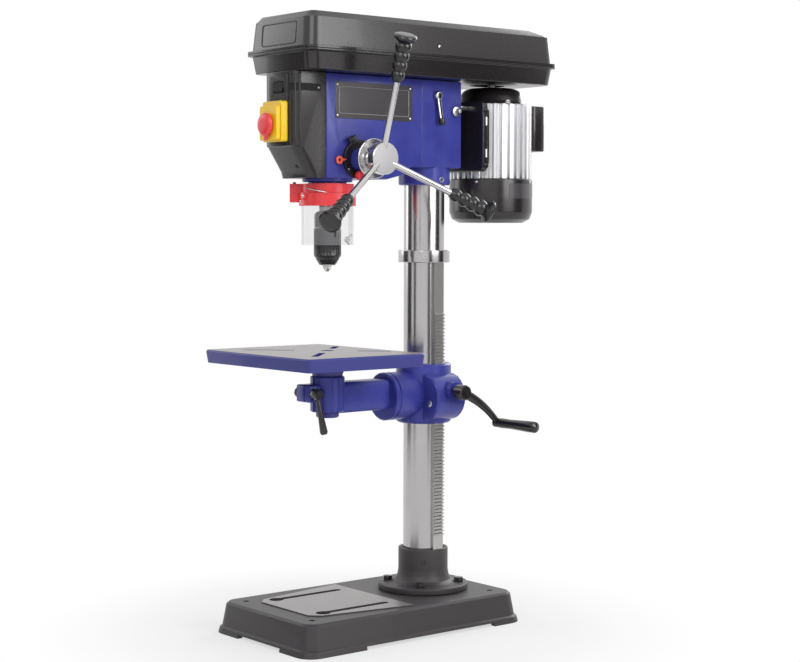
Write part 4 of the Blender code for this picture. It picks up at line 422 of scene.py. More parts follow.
# %% [markdown]
# ## Plastics and rubber
# The belt guard and nose are moulded in black plastic with a fine spark-eroded grain. The feed grips are hard
# gloss phenolic. The switch is yellow with a red knob, and the chuck guard is red over a clear shield. Each could
# have nodes of its own, but all come from one recipe with the gloss, grain size and depth of that moulding.
# %% Plastics
def plastic(name, colour, rough, grain, depth, coat=0.0, **fixed):
    """Relief = grain noise; roughness swings a little with it; colour varies by a few parts in a hundred."""
    made = Finish(name, colour, rough, **{"Coat Weight": coat, "Coat Roughness": 0.08, **fixed})
    pits, cloud = made.noise(grain), made.noise(14.0)
    made.set(Base_Color=made.mix(cloud, tint(colour, 0.92), tint(colour, 1.08)),
             Roughness=made.spread(pits, 0.3, 0.7, rough * 0.9, min(1.0, rough * 1.12)))
    made.bump(pits, depth, 0.5)
    return made


for finish, *recipe in (
        ("black_plastic", "grained_black_plastic", (0.015, 0.012, 0.0138), 0.27, 900.0, 0.025 * MM, 0.2),
        ("black_grip", "gloss_phenolic", (0.010, 0.009, 0.010), 0.24, 300.0, 0.02 * MM, 0.2),
        ("black_rubber", "belt_rubber", (0.022, 0.021, 0.021), 0.7, 1200.0, 0.2 * MM),
        ("red_plastic", "red_moulding", (0.90, 0.05, 0.06), 0.34, 500.0, 0.03 * MM, 0.15),
        ("yellow_plastic", "yellow_moulding", (1.0, 0.64, 0.015), 0.38, 700.0, 0.06 * MM, 0.15),
        ("green_plastic", "green_moulding", (0.02, 0.36, 0.08), 0.35, 700.0, 0.05 * MM, 0.2),
        ("orange_plastic", "orange_moulding", (0.85, 0.13, 0.07), 0.35, 500.0, 0.04 * MM, 0.3),
        ("dark_bare", "bare_dark_label", (0.055, 0.05, 0.054), 0.34, 400.0, 0.02 * MM, 0.3),
        # matte near-black: on the nose slot, nose screw hole and knob seat it is painted shade where a recess would be;
        # on the lamp rocker and the terminal seam it is a plain matte black
        ("hole_black", "shadow_black", (0.004, 0.004, 0.004), 0.8, 300.0, 0.02 * MM)):
    finishes[finish] = plastic(*recipe)
finishes["clear_plastic"] = plastic("clear_polycarbonate", (0.5, 0.49, 0.51), 0.1, 200.0, 0.01 * MM, 0.3, Alpha=0.15)
print("finishes:", len(finishes))

# %% [markdown]
# ## Boxes and directions
# The frame gives each node's box in metres. Sizes of small parts are easier to read in millimetres, so a piece is
# worked out in millimetres and turned to metres only when its mesh is made. A class holds a box that way.
# %% Boxes and points in millimetres
UP, RIGHT = (0, 0, 1), (1, 0, 0)
Point = namedtuple("Point", "x y z")


class Box:
    """A node's corners, middle and half size, in millimetres."""

    def __init__(self, low, high):
        low, high = np.array(low) / MM, np.array(high) / MM
        self.low, self.high, self.middle, self.half = (
            Point(*p) for p in (low, high, (low + high) / 2, (high - low) / 2))


def own_points(node):
    """The points of a node's own mesh, in millimetres."""
    return np.array([v.co for v in nodes[node].data.vertices]) / MM


def circle(count):
    """Angles of count equal steps round a full turn."""
    return np.linspace(0, 2 * math.pi, count, endpoint=False)


def unit(vectors):
    return vectors / np.linalg.norm(vectors, axis=-1, keepdims=True)


def frame_of(axis):
    """Two unit vectors across an axis, and the axis made one long."""
    axis = unit(np.array(axis, float))
    side = unit(np.cross(UP, axis)) if abs(axis[2]) < 0.999 else np.array((1.0, 0, 0))
    return side, np.cross(axis, side), axis


def polar(radius, degrees, z, centre=(0, 0)):
    """Points at a radius and an angle from +X about an upright axis, and the outward directions there."""
    a = np.radians(degrees)
    out = np.stack([np.cos(a), np.sin(a), 0 * a], -1)
    at = np.broadcast_arrays(centre[0] + radius * np.cos(a), centre[1] + radius * np.sin(a), z)
    return np.stack(at, -1), out


print("a quarter turn points", polar(1, 90, 0)[1].round(3))

# %% [markdown]
# ## Grids to meshes
# Nearly every new piece is a grid of points: rows along a profile or path, columns around it. The points are
# worked out as one array, and the faces join each point to its neighbours. Most pieces are rings stacked along an
# axis, with one radius all round for a turned part and a waved one for fins, ribs and hexagons.
# %% Grids to meshes
MERGE_DISTANCE = 2e-6


def link_piece(name, mesh, finish, body, replaced=()):
    """An object at the origin that wears a finish, rides on a body and stands for CAD nodes."""
    piece = place(name, mesh)
    mesh.materials.clear()
    mesh.materials.append(finishes[finish].material)
    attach(piece, body)
    if replaced:
        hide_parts(*replaced)
    return piece


def smooth_but_sharp(mesh, degrees):
    mesh.shade_smooth()
    mesh.set_sharp_from_angle(angle=math.radians(degrees))


def grid_piece(name, points, finish, body, replaced=(), loop=False, sharp=38):
    """Mesh through rows by columns of points: (i, j) joins (i, j+1), (i+1, j+1) and (i+1, j).

    Columns close on themselves. Rows close too when loop is set; otherwise both ends are capped. Doubles at
    poles and seams are merged, and then every side is faced outwards.
    """
    rows, columns = points.shape[:2]
    index = np.arange(rows * columns).reshape(rows, columns)
    low, high = (index, np.roll(index, -1, 0)) if loop else (index[:-1], index[1:])
    faces = np.stack([low, np.roll(low, -1, 1), np.roll(high, -1, 1), high], -1).reshape(-1, 4).tolist()
    if not loop:
        faces += [index[0][::-1].tolist(), index[-1].tolist()]
    mesh = bpy.data.meshes.new(name)
    mesh.from_pydata((points.reshape(-1, 3) * MM).tolist(), [], faces)
    work = bmesh.new()
    work.from_mesh(mesh)
    bmesh.ops.remove_doubles(work, verts=work.verts, dist=MERGE_DISTANCE)
    bmesh.ops.dissolve_degenerate(work, edges=work.edges, dist=MERGE_DISTANCE)
    bmesh.ops.recalc_face_normals(work, faces=work.faces)
    work.to_mesh(mesh)
    work.free()
    smooth_but_sharp(mesh, sharp)
    return link_piece(name, mesh, finish, body, replaced)


def ringed(name, radii, heights, at, axis, finish, body, replaced=(), **more):
    """Stacked rings: point = at + h * axis + r * (cos a * side + sin a * up), with r in rows by angles."""
    side, up, along = frame_of(axis)
    a = circle(radii.shape[1])[:, None]
    around = radii[..., None] * (np.cos(a) * side + np.sin(a) * up)
    points = np.array(at) + np.array(heights)[:, None, None] * along + around
    return grid_piece(name, points, finish, body, replaced, **more)


print("helpers ready for", len(nodes), "nodes")

# %% [markdown]
# ## Profiles, plates and bars
# A turned part is drawn as half its outline, with each corner eased by a short curve, as a lathe tool leaves it.
# Plates have rounded rims, bars follow a path, and a wire goes round a closed ring of points.
# %% Profiles, plates and bars
def eased(profile, radius, closed):
    """Corners eased: each becomes (1-t)^2 S + 2t(1-t) P + t^2 E between points cut back from it."""
    p = np.array(profile, float)
    back, ahead = np.roll(p, 1, 0) - p, np.roll(p, -1, 0) - p
    far_back, far_ahead = np.linalg.norm(back, axis=1, keepdims=True), np.linalg.norm(ahead, axis=1, keepdims=True)
    size = np.minimum(radius, 0.45 * np.minimum(far_back, far_ahead))
    if not closed:
        size[[0, -1]] = 0
    start, end = p + back / far_back * size, p + ahead / far_ahead * size
    t = np.linspace(0, 1, 5)[None, :, None]
    curve = (1 - t) ** 2 * start[:, None] + 2 * t * (1 - t) * p[:, None] + t ** 2 * end[:, None]
    flat = curve.reshape(-1, 2)
    keep = np.ones(len(flat), bool)
    keep[1:] = np.linalg.norm(np.diff(flat, axis=0), axis=1) > 1e-4
    return flat[keep]


def turned(name, profile, at, axis, finish, body, replaced=(), sides=64, ease=0.8, loop=False):
    """Solid of revolution of (radius, height) pairs; loop closes the outline on itself, for a hollow part."""
    line = eased(profile, ease, loop) if ease else np.array(profile, float)
    return ringed(name, np.repeat(line[:, :1], sides, 1), line[:, 1], at, axis, finish, body, replaced, loop=loop)


def pipe(outer, inner, low, high):
    """Closed outline of a short tube."""
    return [(outer, low), (outer, high), (inner, high), (inner, low)]


def rod(radius, low, high):
    """Outline of a plain round bar, from axis to axis."""
    return [(0, low), (radius, low), (radius, high), (0, high)]


def round_rectangle(x0, x1, y0, y1, radius, inset=0):
    """Outline: corner centres plus radius * (cos a, sin a), a quarter turn each; inset shrinks it evenly."""
    r = max(radius - inset, 0.05)
    x0, x1, y0, y1 = x0 + inset, x1 - inset, y0 + inset, y1 - inset
    a = (np.linspace(0, math.pi / 2, 6)[None] + np.arange(4)[:, None] * math.pi / 2).ravel()
    cx = np.repeat([x1 - r, x0 + r, x0 + r, x1 - r], 6)
    cy = np.repeat([y1 - r, y1 - r, y0 + r, y0 + r], 6)
    return np.stack([cx + r * np.cos(a), cy + r * np.sin(a)], -1)


def plate(name, size, low, high, edge, radius, finish, body, across):
    """Slab across X or Y: at height low + edge * (1 - cos b) its outline is inset by edge * (1 - sin b)."""
    b = np.linspace(0, math.pi / 2, 5)
    inset, lift = edge * (1 - np.sin(b)), edge * (1 - np.cos(b))
    rows = []
    for inward, level in zip([*inset, *inset[::-1]], [*(low + lift), *(high - lift)[::-1]]):
        rows.append(np.insert(round_rectangle(*size, radius, inward), "XY".index(across), level, axis=1))
    return grid_piece(name, np.array(rows), finish, body)


def swept(name, path, radius, finish, body, sides=20):
    """Round bar along a path: point = path + r(s) * (cos a * side + sin a * up), with side square to the path."""
    path = np.array(path, float)
    along = unit(np.gradient(path, axis=0))
    upright = abs(along[:, 2]).max() >= 0.9
    side = unit(np.cross((0.93, 0.31, 0.17) if upright else (0.31, 0.17, 0.93), along))
    up = np.cross(along, side)
    a = circle(sides)[None, :, None]
    spread = np.broadcast_to(radius, len(path))[:, None, None]
    points = path[:, None] + spread * (np.cos(a) * side[:, None] + np.sin(a) * up[:, None])
    return grid_piece(name, points, finish, body)


def hoop(name, ring, outward, radius, sides, finish, body):
    """Round wire round a closed ring of points: ring + radius * (cos a * across + sin a * outward)."""
    across = np.cross(unit(np.roll(ring, -1, 0) - np.roll(ring, 1, 0)), outward)
    a = circle(sides)[None, :, None]
    points = ring[:, None] + radius * (np.cos(a) * across[:, None] + np.sin(a) * np.array(outward))
    return grid_piece(name, points, finish, body, loop=True)


print("a rounded rectangle has", len(round_rectangle(0, 1, 0, 1, 0.1)), "points")

# %% [markdown]
# ## Castings with broken edges
# A casting such as the head is already right in the frame, down to its bores, but its edges are razor sharp. Its
# mesh there is loose triangles, which a Bevel modifier can't follow. So a copy is merged and its flat faces are
# joined, and then the copy takes a small bevel and stands for the node.
# %% Copies with broken edges
BEVEL_ANGLE, FLAT_ANGLE = 32, 0.6


def softened(node, width, segments=2, finish=None):
    """Copy of a CAD node: doubles merged, flat faces joined, edges sharper than BEVEL_ANGLE rounded by width."""
    mesh = nodes[node].data.copy()
    mesh.name = node + "_softened"
    work = bmesh.new()
    work.from_mesh(mesh)
    bmesh.ops.remove_doubles(work, verts=work.verts, dist=5e-6)
    bmesh.ops.dissolve_limit(work, angle_limit=math.radians(FLAT_ANGLE), verts=work.verts, edges=work.edges)
    work.to_mesh(mesh)
    work.free()
    if mesh.attributes.get("custom_normal"):
        mesh.attributes.remove(mesh.attributes["custom_normal"])
    smooth_but_sharp(mesh, BEVEL_ANGLE + 6)
    piece = link_piece(node + "_softened", mesh, finish or slot_of[node], body_of[node], (node,))
    bevel = piece.modifiers.new("Bevel", "BEVEL")
    bevel.width, bevel.segments, bevel.limit_method = width * MM, segments, "ANGLE"
    bevel.angle_limit, bevel.harden_normals = math.radians(BEVEL_ANGLE), True
    return piece


for node, width, finish in (("base", 1.0, "ground_base"), ("table", 0.8, "ground_table"), ("table_arm", 1.6, None),
                            ("table_bracket", 1.6, None), ("head_casting", 0.8, None)):
    edges = len(softened(node, width, 2, finish).data.edges)
    print(node, "has", edges, "edges before its bevel")

# %% [markdown]
# ## Column, collar and flange
# The column is a ground steel tube, and a collar round it holds the toothed rack. Both could be plain cylinders,
# but they are hollow on the real machine, so their walls are carried round as closed profiles. The flange is a
# turned casting whose sleeve sweeps out into a disc.
# %% Column, collar and flange
column, collar, flange = Box(*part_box("column")), Box(*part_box("rack_collar")), Box(*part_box("column_flange"))
centre, radius, wall = column.middle[:2], column.half.x, 4
foot, bore = (*centre, 0), radius + 0.3
turned("column_tube", pipe(radius, radius - wall, column.low.z, column.high.z), foot, UP, "column_steel", "stand",
       ("column",), 96, 0.5, True)
turned("collar_ring", pipe(collar.half.x, bore, collar.low.z, collar.high.z), foot, UP, "column_steel", "stand",
       ("rack_collar",), 96, 1.6, True)
outer, sleeve, step = flange.half.x, 45, flange.low.z + 11.2
turned("flange_casting", [
    (outer, flange.low.z), (outer, step - 1), (outer - 3, step), (sleeve + 14, step + 1.5), (sleeve + 5, step + 6),
    (sleeve + 1.5, step + 15), (sleeve, step + 25), (sleeve, flange.high.z), (bore, flange.high.z),
    (bore, flange.low.z)], foot, UP, "cast_dark", "stand", ("column_flange",), 96, 2.2, True)
print("column radius", round(radius, 2), "mm")

# %% [markdown]
# ## Screws
# Hex bolts hold the flange and small socket screws lock the sleeves. A hexagon is a circle whose radius changes
# with angle: half the width over the cosine of the angle to the nearest flat. Capping it with a circle at the top
# rows gives the turned chamfer of a real bolt head.
# %% Bolts and set screws
WASHER = 1.4


def hex_head(name, at, axis, width, height, body, finish="steel", washer=True):
    """Radius = width / 2 / cos(angle to nearest flat), capped at 0.53 and 0.5 width on the top rows."""
    hexagon = width / 2 / np.cos((circle(60) + math.pi / 6) % (math.pi / 3) - math.pi / 6)
    radii = np.array([np.minimum(hexagon, cap * width) for cap in (0.8, 0.8, 0.8, 0.53, 0.5)])
    heights = np.array([0, 0.1, 0.82, 0.97, 1.0]) * height + (WASHER if washer else 0)
    ringed(name, radii, heights, at, axis, finish, body)
    if washer:
        turned(name + "_washer", pipe(0.72 * width, 0.35 * width, 0, WASHER), at, axis, finish, body, sides=40,
               ease=0.3, loop=True)


def set_screw(name, at, axis, size, body, finish="steel"):
    """Cup: rim radius size / 2 standing 0.7 mm proud, with a socket half as wide sunk to 0.9 mm below."""
    r = size / 2
    turned(name, [(0, -1.5), (r, -1.5), (r, 0.7), (0.55 * r, 0.7), (0.5 * r, -0.9), (0, -0.9)], at, axis, finish,
           body, sides=24, ease=0.25)


def dome(name, at, axis, size, height, body, finish="chrome"):
    """Rivet or screw head: radius = r cos t at height h sin t, t from 0 to a quarter turn."""
    t = np.linspace(0, math.pi / 2, 7)
    turned(name, np.stack([size / 2 * np.cos(t), height * np.sin(t)], -1), at, axis, finish, body, sides=24, ease=0)


for i in range(4):
    at = polar(65, 45 + 90 * i, step - 0.6, centre)[0]
    hex_head(f"flange_bolt_{i + 1}", at, UP, 15, 8, "stand", "black_plastic")
SCREW_SIDE = -38
set_screw("flange_set_screw", *polar(sleeve, SCREW_SIDE, 52, centre), 9, "stand", "black_plastic")
set_screw("collar_set_screw", *polar(46.4, SCREW_SIDE, 602, centre), 7, "stand")
set_screw("socket_set_screw", (centre[0] + 46.4, centre[1] + 2, 738), (1, 0.05, 0), 11, "stand")
print("the flange's bolts sit at height", round(step, 2), "mm")

# %% [markdown]
# ## Crank and levers
# The crank's grip is a turned phenolic handle, a little thicker towards its end. The clamp levers are hung so that
# their weight keeps them closed, and each ends in a swelling that fills the hand. A cylinder would do for the grip,
# but a turned outline gives its taper and round rims. The levers keep their frame shape with softer edges.
# %% Crank grip and clamp levers
grip = Box(*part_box("crank_grip"))
r, length = grip.half.z, 2 * grip.half.x
turned("crank_handle", [
    (4.3, 0), (r - 3, 0), (r - 1, 2), (r - 1.6, 0.3 * length), (r, 0.75 * length), (r, length - 4), (0, length),
    (0, length - 5), (4.3, length - 5)], (grip.low.x, grip.middle.y, grip.middle.z), RIGHT, "black_grip",
    "crank_grip", ("crank_grip",), 40, 2, True)
for node in ("crank", "column_lock_lever", "table_lock_lever"):
    softened(node, 0.5)
set_screw("bracket_set_screw_high", *polar(50, SCREW_SIDE, 345, centre), 10, "bracket")
dome("gear_pin_end", (56.6, centre[1] - 33.2, 340), (0, -1, 0), 12, 1.6, "bracket", "steel")
print("crank grip", round(2 * r, 1), "mm thick,", round(length, 1), "mm long")

# %% [markdown]
# ## Head plate, seam and pointer
# A dark plate is riveted to the right side of the head. It stays bare here: the plate and its four rivets are real
# parts, and nothing is printed on them. A fine bright line frames it, and behind it runs the casting's parting
# seam. They could all be one picture, but thin real pieces catch the light. Beside the feed boss is the orange
# pointer, which turns with the depth ring.
# %% Plate, rivets, seam and pointer
nose, hub = Box(*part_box("front_cover")), Box(*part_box("feed_hub"))
head_side, feed_y, feed_z = nose.high.x, hub.middle.y, hub.middle.z
plate_box = (-19, 150, 838, 900)
plate("side_plate", plate_box, head_side - 0.2, head_side + 0.9, 0.3, 3, "dark_bare", "stand", "X")
for i, (y, z) in enumerate(((-14, 843), (145, 843), (145, 895), (-14, 895))):
    dome(f"plate_rivet_{i + 1}", (head_side + 0.85, y, z), RIGHT, 4.6, 1.2, "stand")
outline = round_rectangle(*plate_box, 3, 8.5)
hoop("plate_frame", np.insert(outline, 0, head_side + 0.85, axis=1), RIGHT, 0.35, 8, "steel", "stand")
plate("head_seam", (173, 173.7, 762, 912), head_side - 0.3, head_side + 0.12, 0.05, 0.1, "chrome", "stand", "X")
eye = np.array((head_side + 4.5, -13, feed_z - 2))
turned("pointer_eye", pipe(7.2, 2.6, -2.2, 2.2), eye, RIGHT, "orange_plastic", "depth", sides=40, ease=1.6, loop=True)
swept("pointer_arm", eye + np.array([(0, 5, 0), (0, 9, 1), (1.5, 13, 1.5)]), (2.4, 2.2, 1.6), "orange_plastic", "depth")
print("the head's side is at x", round(head_side, 2), "mm")

# %% [markdown]
# ## Nose
# The nose is a moulded shell with big round corners. Its front carries the switch, and flutes run down its right
# corner. A slot with one screw crosses the corner near the top, and a screw hole lies low in the chin; both are
# near-black pieces laid on the surface, their darkness painted shade where a recess would be. The small features
# could be cut into the frame's shell, but laying them on its surface keeps the shell whole.
# %% Nose shell, flutes, slot and lamp switch
softened("front_cover", 1.0)
front, corner = nose.low.y, 18


def nose_point(s):
    """Plan of the nose by arc length s from the right side's back edge: straight, quarter turn, then across."""
    straight = (nose.high.y - front) - corner
    a = np.clip((s - straight) / corner, 0, math.pi / 2)
    x = head_side - corner + corner * np.cos(a) - np.maximum(s - straight - corner * math.pi / 2, 0)
    y = np.where(s < straight, nose.high.y - s, front + corner - corner * np.sin(a))
    return np.stack([x, y], -1), np.stack([np.cos(a), -np.sin(a)], -1)


def band(name, s0, s1, z0, z1, rise, sunk=1.5, end=2):
    """Strip round the nose from s0 to s1, rise proud of the wall; its half height shrinks as a circle at the ends."""
    s = np.linspace(s0, s1, 48)
    plan, normal = nose_point(s)
    past = np.clip((np.abs(s - (s0 + s1) / 2) - (s1 - s0) / 2 + end) / end, 0, 1)
    half = (z1 - z0) / 2 * (0.6 + 0.4 * np.sqrt(np.clip(1 - past ** 2, 0.01, 1)))
    off, updown = np.array([-sunk, rise, rise, -sunk]), np.array([-1, -1, 1, 1])
    flat = plan[:, None] + normal[:, None] * off[None, :, None]
    height = (z0 + z1) / 2 + updown * half[:, None]
    grid_piece(name, np.concatenate([flat, height[..., None]], -1), "hole_black", "stand")


# the slot and its bar are near-black strips standing proud of the wall: painted shade of the recessed slot
band("nose_slot", 11, 74, 881, 893.5, 0.35)
band("nose_slot_bar", 13, 73, 884.5, 890, 0.75)
dome("nose_slot_screw", (head_side + 0.6, nose.high.y - 16, 887.2), RIGHT, 4, 1.0, "stand", "steel")
z = np.linspace(791, 908, 30)[:, None]
for i, s in enumerate((54, 62, 78)):
    plan, normal = nose_point(np.array([s]))
    path = np.hstack([plan - normal * (0.5 + 0.15 * np.maximum(0, 800 - z)), z])
    swept(f"nose_flute_{i + 1}", path, 1.7, "black_grip", "stand", sides=14)
# a near-black disc stands for the screw hole: painted shade of the hole
turned("nose_screw_hole", rod(3.6, -2, 0.25), (19, front + 24.4, 755), (0.0, -0.83, -0.56), "hole_black", "stand",
       sides=24, ease=0.2)
softened("lamp_rocker", 0.6, 2, "hole_black")
print("the nose starts at y", round(front, 2), "mm")

# %% [markdown]
# ## Main switch
# The main switch is a yellow box whose hinged flap carries a red mushroom knob, so that a slap on the knob stops
# the machine. Box and flap come from the frame. The knob could be a flattened ball, but an outline turned about
# the switch's own axis gives both its shallow dome and its round rim.
# %% Switch, flap and stop knob
softened("switch_box", 0.7)
softened("switch_flap", 0.7)
knob = Box(*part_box("stop_knob"))
r, tall = knob.half.x, 2 * knob.half.y
turned("stop_mushroom", [
    (0, 0), (6, 0), (6, tall - 9), (17, tall - 9), (r, tall - 7.6), (r, tall - 5.4), (16.8, tall - 2),
    (11, tall - 0.5), (0, tall)], (knob.middle.x, knob.high.y, knob.high.z - r), (0, -1, 0), "red_plastic",
    "stop_knob", ("stop_knob",), 64, 1.2)
plate("stop_finger_tab", (-5, 5, knob.low.z, knob.high.z - 2 * r + 6), knob.low.y + 6.4, knob.low.y + 8.8, 0.8, 2.5,
      "red_plastic", "stop_knob", "Y")
print("knob radius", round(r, 2), "mm")

# %% [markdown]
# ## Feed hub
# Three spokes pull the quill down through a pinion. The chromed hub that holds them flares into a cup over the
# feed boss and ends in a thick disc, whose face is brushed. It could be joined from cylinders, but one closed
# outline, hollow for the shaft, leaves no seams.
# %% Hub
disc, flare, span = 27.5, hub.half.z, 2 * hub.half.x
hub_at = (hub.low.x, feed_y, feed_z)
turned("hub_turning", [
    (8.3, 0), (22, 0), (flare - 1.5, 6), (flare, 7.2), (flare, 8.6), (flare - 1.5, 9.4), (flare - 5, 7.5),
    (20, 3.2), (14, 3.5), (14, span - 25), (disc - 3, span - 19), (disc, span - 16), (disc, span - 1.6),
    (disc - 1.6, span), (0, span), (0, span - 15), (8.3, span - 15)], hub_at, RIGHT, "chrome", "feed",
    ("feed_hub",), 96, 0.9, True)
turned("hub_face", [(0, span - 2), (disc - 1.6, span - 2), (disc - 1.6, span + 0.05), (0, span + 0.12)], hub_at,
       RIGHT, "brushed_face", "feed", sides=72, ease=0.1)
print("hub", round(span, 1), "mm long")

# %% [markdown]
# ## Spokes and grips
# Each spoke is a plated bar with a black grip. The bar's direction is read from the frame's own points, so the
# new bar lies exactly along the old one. The grip is a row of swelling beads and a mushroom end, which is one
# profile: a bead is a raised sine, and a slow ramp makes each bead larger than the last.
# %% Spokes and grips
HUB_CENTRE = np.array((113, feed_y, feed_z))
BEADS, MUSHROOM = 4, 20


def spoke_axis(node):
    """Direction of a bar: the longest axis of its points, turned away from the hub."""
    points = own_points(node)
    middle = points.mean(0)
    axis = np.linalg.svd(points - middle, full_matrices=False)[2][0]
    return axis * np.sign(axis @ (middle - HUB_CENTRE)), points


for i in (1, 2, 3):
    axis, points = spoke_axis(f"feed_spoke_{i}")
    reach = points @ axis
    origin = points.mean(0) - axis * (points.mean(0) @ axis)
    turned(f"spoke_bar_{i}", rod(5.5, reach.min(), reach.max()), origin, axis, "chrome", "feed",
           (f"feed_spoke_{i}",), 40, 0.6)
    reach = own_points(f"feed_grip_{i}") @ axis
    length = reach.max() - reach.min()
    s = np.linspace(0.02, 0.83, 70)
    wave = np.abs(np.sin(math.pi * (s - 0.02) / 0.81 * BEADS)) ** 0.75
    beads = (8.4 + 3.4 * s) + (2.7 + 0.9 * s) * wave
    profile = [(0, 0), (7.6, 0), *zip(beads, s * length)] + [
        (MUSHROOM - less, part * length) for less, part in (
            (4.5, 0.87), (0.6, 0.91), (0, 0.945), (1, 0.975), (4.5, 0.993), (10, 1), (MUSHROOM, 1))]
    turned(f"grip_moulding_{i}", profile, origin + axis * reach.min(), axis, "black_grip", "feed",
           (f"feed_grip_{i}",), 56, 0.25)
    print("spoke", i, "points along", axis.round(3))

# %% [markdown]
# ## Depth ring and knobs
# The depth ring turns on the feed boss and a star knob locks it. The star could be a disc with five bumps joined
# on, but a circle with five soft waves is one clean outline. The red knob beside it locks the quill.
# %% Depth ring, star knob and quill lock
ring = Box(*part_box("depth_ring"))
r, wide = ring.half.z, 2 * ring.half.x
turned("ring_moulding", [(20.3, 0), (r, 0), (r, wide), (r - 7, wide), (r - 8, wide - 0.8), (20.3, wide - 0.8)],
       (ring.low.x, feed_y, feed_z), RIGHT, "black_plastic", "depth", ("depth_ring",), 72, 0.7, True)
dome("ring_screw", (ring.high.x - 0.1, feed_y - 24, feed_z - 17), RIGHT, 3.4, 0.8, "depth")
knob_axis, points = np.array((0, -0.5, 0.866)), own_points("depth_lock_knob")
star = 7.5 + 0.95 * np.cos(5 * circle(80))
radii = np.array([0.5, 0.55, 0.9, 1.0, 1.0, 0.93, 0.75])[:, None] * star
heights = (points @ knob_axis).min() + np.array([0, 1.8, 2.0, 3.0, 8.2, 9.4, 10])
ringed("star_knob", radii, heights, points.mean(0) - knob_axis * (points.mean(0) @ knob_axis), knob_axis,
       "black_plastic", "depth_knob", ("depth_lock_knob",))
lock = Box(*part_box("quill_lock_knob"))
r, tall = lock.half.z, 2 * lock.half.x
turned("quill_lock_button", [(0, 0), (4, 0), (4, 3), (r - 0.4, 3.6), (r, tall - 4), (r - 1.8, tall), (0, tall)],
       (lock.low.x, lock.middle.y, lock.middle.z), RIGHT, "red_plastic", "quill_lock", ("quill_lock_knob",), 48, 1.2)
print("quill lock knob", round(2 * r, 1), "mm across")

# %% [markdown]
# ## Chuck sleeve
# The chuck is keyless: its sleeve is turned by hand to close the jaws, so it has a band of shallow ribs for grip.
# The ribs could be separate bars. A radius that varies with angle as a cosine keeps the sleeve one closed mesh.
# %% Chuck sleeve
sleeve = Box(*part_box("chuck_sleeve"))
r, z0, z1 = sleeve.half.x, sleeve.low.z, sleeve.high.z
rib_low, rib_high = z0 + 17, z1 - 6
rows = [(11.5, z0), (13, z0), (15, z0 + 1.2), (r - 4.2, z0 + 9), (r - 3.4, z0 + 10.4), (r - 3.2, z0 + 12),
        (r - 0.6, z0 + 15), (r, z0 + 16.2), (r, rib_low),
        *((r, z) for z in np.linspace(rib_low + 0.6, rib_high - 0.6, 5)),
        (r, rib_high), (r, z1 - 2), (r - 1.4, z1), (20, z1), (19, z1 - 0.5), (11.5, z1 - 0.5)]
radius, heights = np.array(rows).T
ribbed = (heights > rib_low) & (heights < rib_high)
radii = radius[:, None] + ribbed[:, None] * (0.28 * np.cos(36 * circle(144)) - 0.3)
ringed("sleeve_turning", radii, heights, (0, 0, 0), UP, "black_grip", "chuck_sleeve", ("chuck_sleeve",), loop=True)
turned("sleeve_nose_ring", pipe(14, 11.6, -0.4, 1.2), (0, 0, z0), UP, "steel", "chuck_sleeve", sides=48, ease=0.3,
       loop=True)
print("sleeve", round(z1 - z0, 1), "mm tall")

# %% [markdown]
# ## Chuck guard
# The guard is a red collar and drum with a clear shield below it, which slides up and down on a wing nut. Its
# castings come softened from the frame, and the screws, the boss and the bent spring wire are laid on it. The
# wire could be a curve with a round bevel; here it is swept along points that stay just clear of the drum.
# %% Guard screws, boss, wire and wing nut
softened("guard_collar", 0.8)
softened("guard_drum", 0.8)
drum_r, shield_r = Box(*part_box("guard_drum")).high.x, Box(*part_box("chuck_shield")).high.x
at, out = polar(drum_r - 0.4, -92, 706)
turned("guard_boss", rod(7, 0, 2.6), at, out, "red_plastic", "guard", sides=32, ease=0.9)
dome("guard_boss_screw", at + 2.6 * out, out, 6.6, 1.6, "guard")
dome("guard_side_screw", *polar(drum_r - 0.3, -108, 697), 5.6, 1.6, "guard")
t = np.linspace(0, 1, 26)
swept("guard_wire", polar(drum_r + 1.0 + 0.5 * np.sin(math.pi * t), -84 + 46 * t, 720 - 8 * t)[0], 1.0, "chrome",
      "guard", sides=12)
at, out = polar(shield_r - 0.2, 8, 632)
turned("wing_nut_hub", [(0, 0), (4.6, 0), (4.6, 1.4), (3.4, 2), (3.0, 6), (0, 6)], at, out, "chrome", "shield",
       sides=28, ease=0.5)
for i, sign in enumerate((-1, 1)):
    root, wing = at + 4 * out, sign * np.array([0, 0.35, 0.93])
    swept(f"wing_{i + 1}", [root, root + 2 * out + 5 * wing, root + 5.5 * out + 8.5 * wing], (2.0, 2.3, 1.5),
          "chrome", "shield")
print("drum radius", round(drum_r, 2), "mm")

# %% [markdown]
# ## Belt guard
# The belt guard is a pressed pan with a moulded lid hinged on the left. The lid's walls lean in a little, and its
# front has a framed panel, which is left bare. The frame could be pressed in with a boolean, but a fine raised
# line reads the same and leaves the wall whole. A small chromed knob holds the lid's edge on the right.
# %% Belt guard, bare panel and knob
softened("belt_pan", 1.4)
softened("belt_lid", 1.8, 3)
wall_y, foot_z, lean = Box(*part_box("belt_lid")).low.y + 6, 953.5, 4 / 48
x, z = round_rectangle(-50, 48, 959, 995, 5).T
hoop("lid_panel_frame", np.stack([x, wall_y + np.maximum(0, z - foot_z) * lean, z], -1), (0, -1, 0), 1.2, 10,
     "black_plastic", "lid")
knob_at = (92 - (966 - foot_z) * lean, 175, 967)
turned("lid_knob", [(0, -1), (3.4, -1), (3.4, 0.8), (2.4, 1.8), (0, 2.1)], knob_at, RIGHT, "chrome", "lid",
       sides=24, ease=0.4)
# a near-black ring round the knob: painted shade in the knob's seat
turned("lid_knob_seat", pipe(5, 3.2, -0.6, 0.4), knob_at, RIGHT, "hole_black", "lid", sides=24, ease=0.2, loop=True)
print("lid wall at y", round(wall_y, 2), "mm")

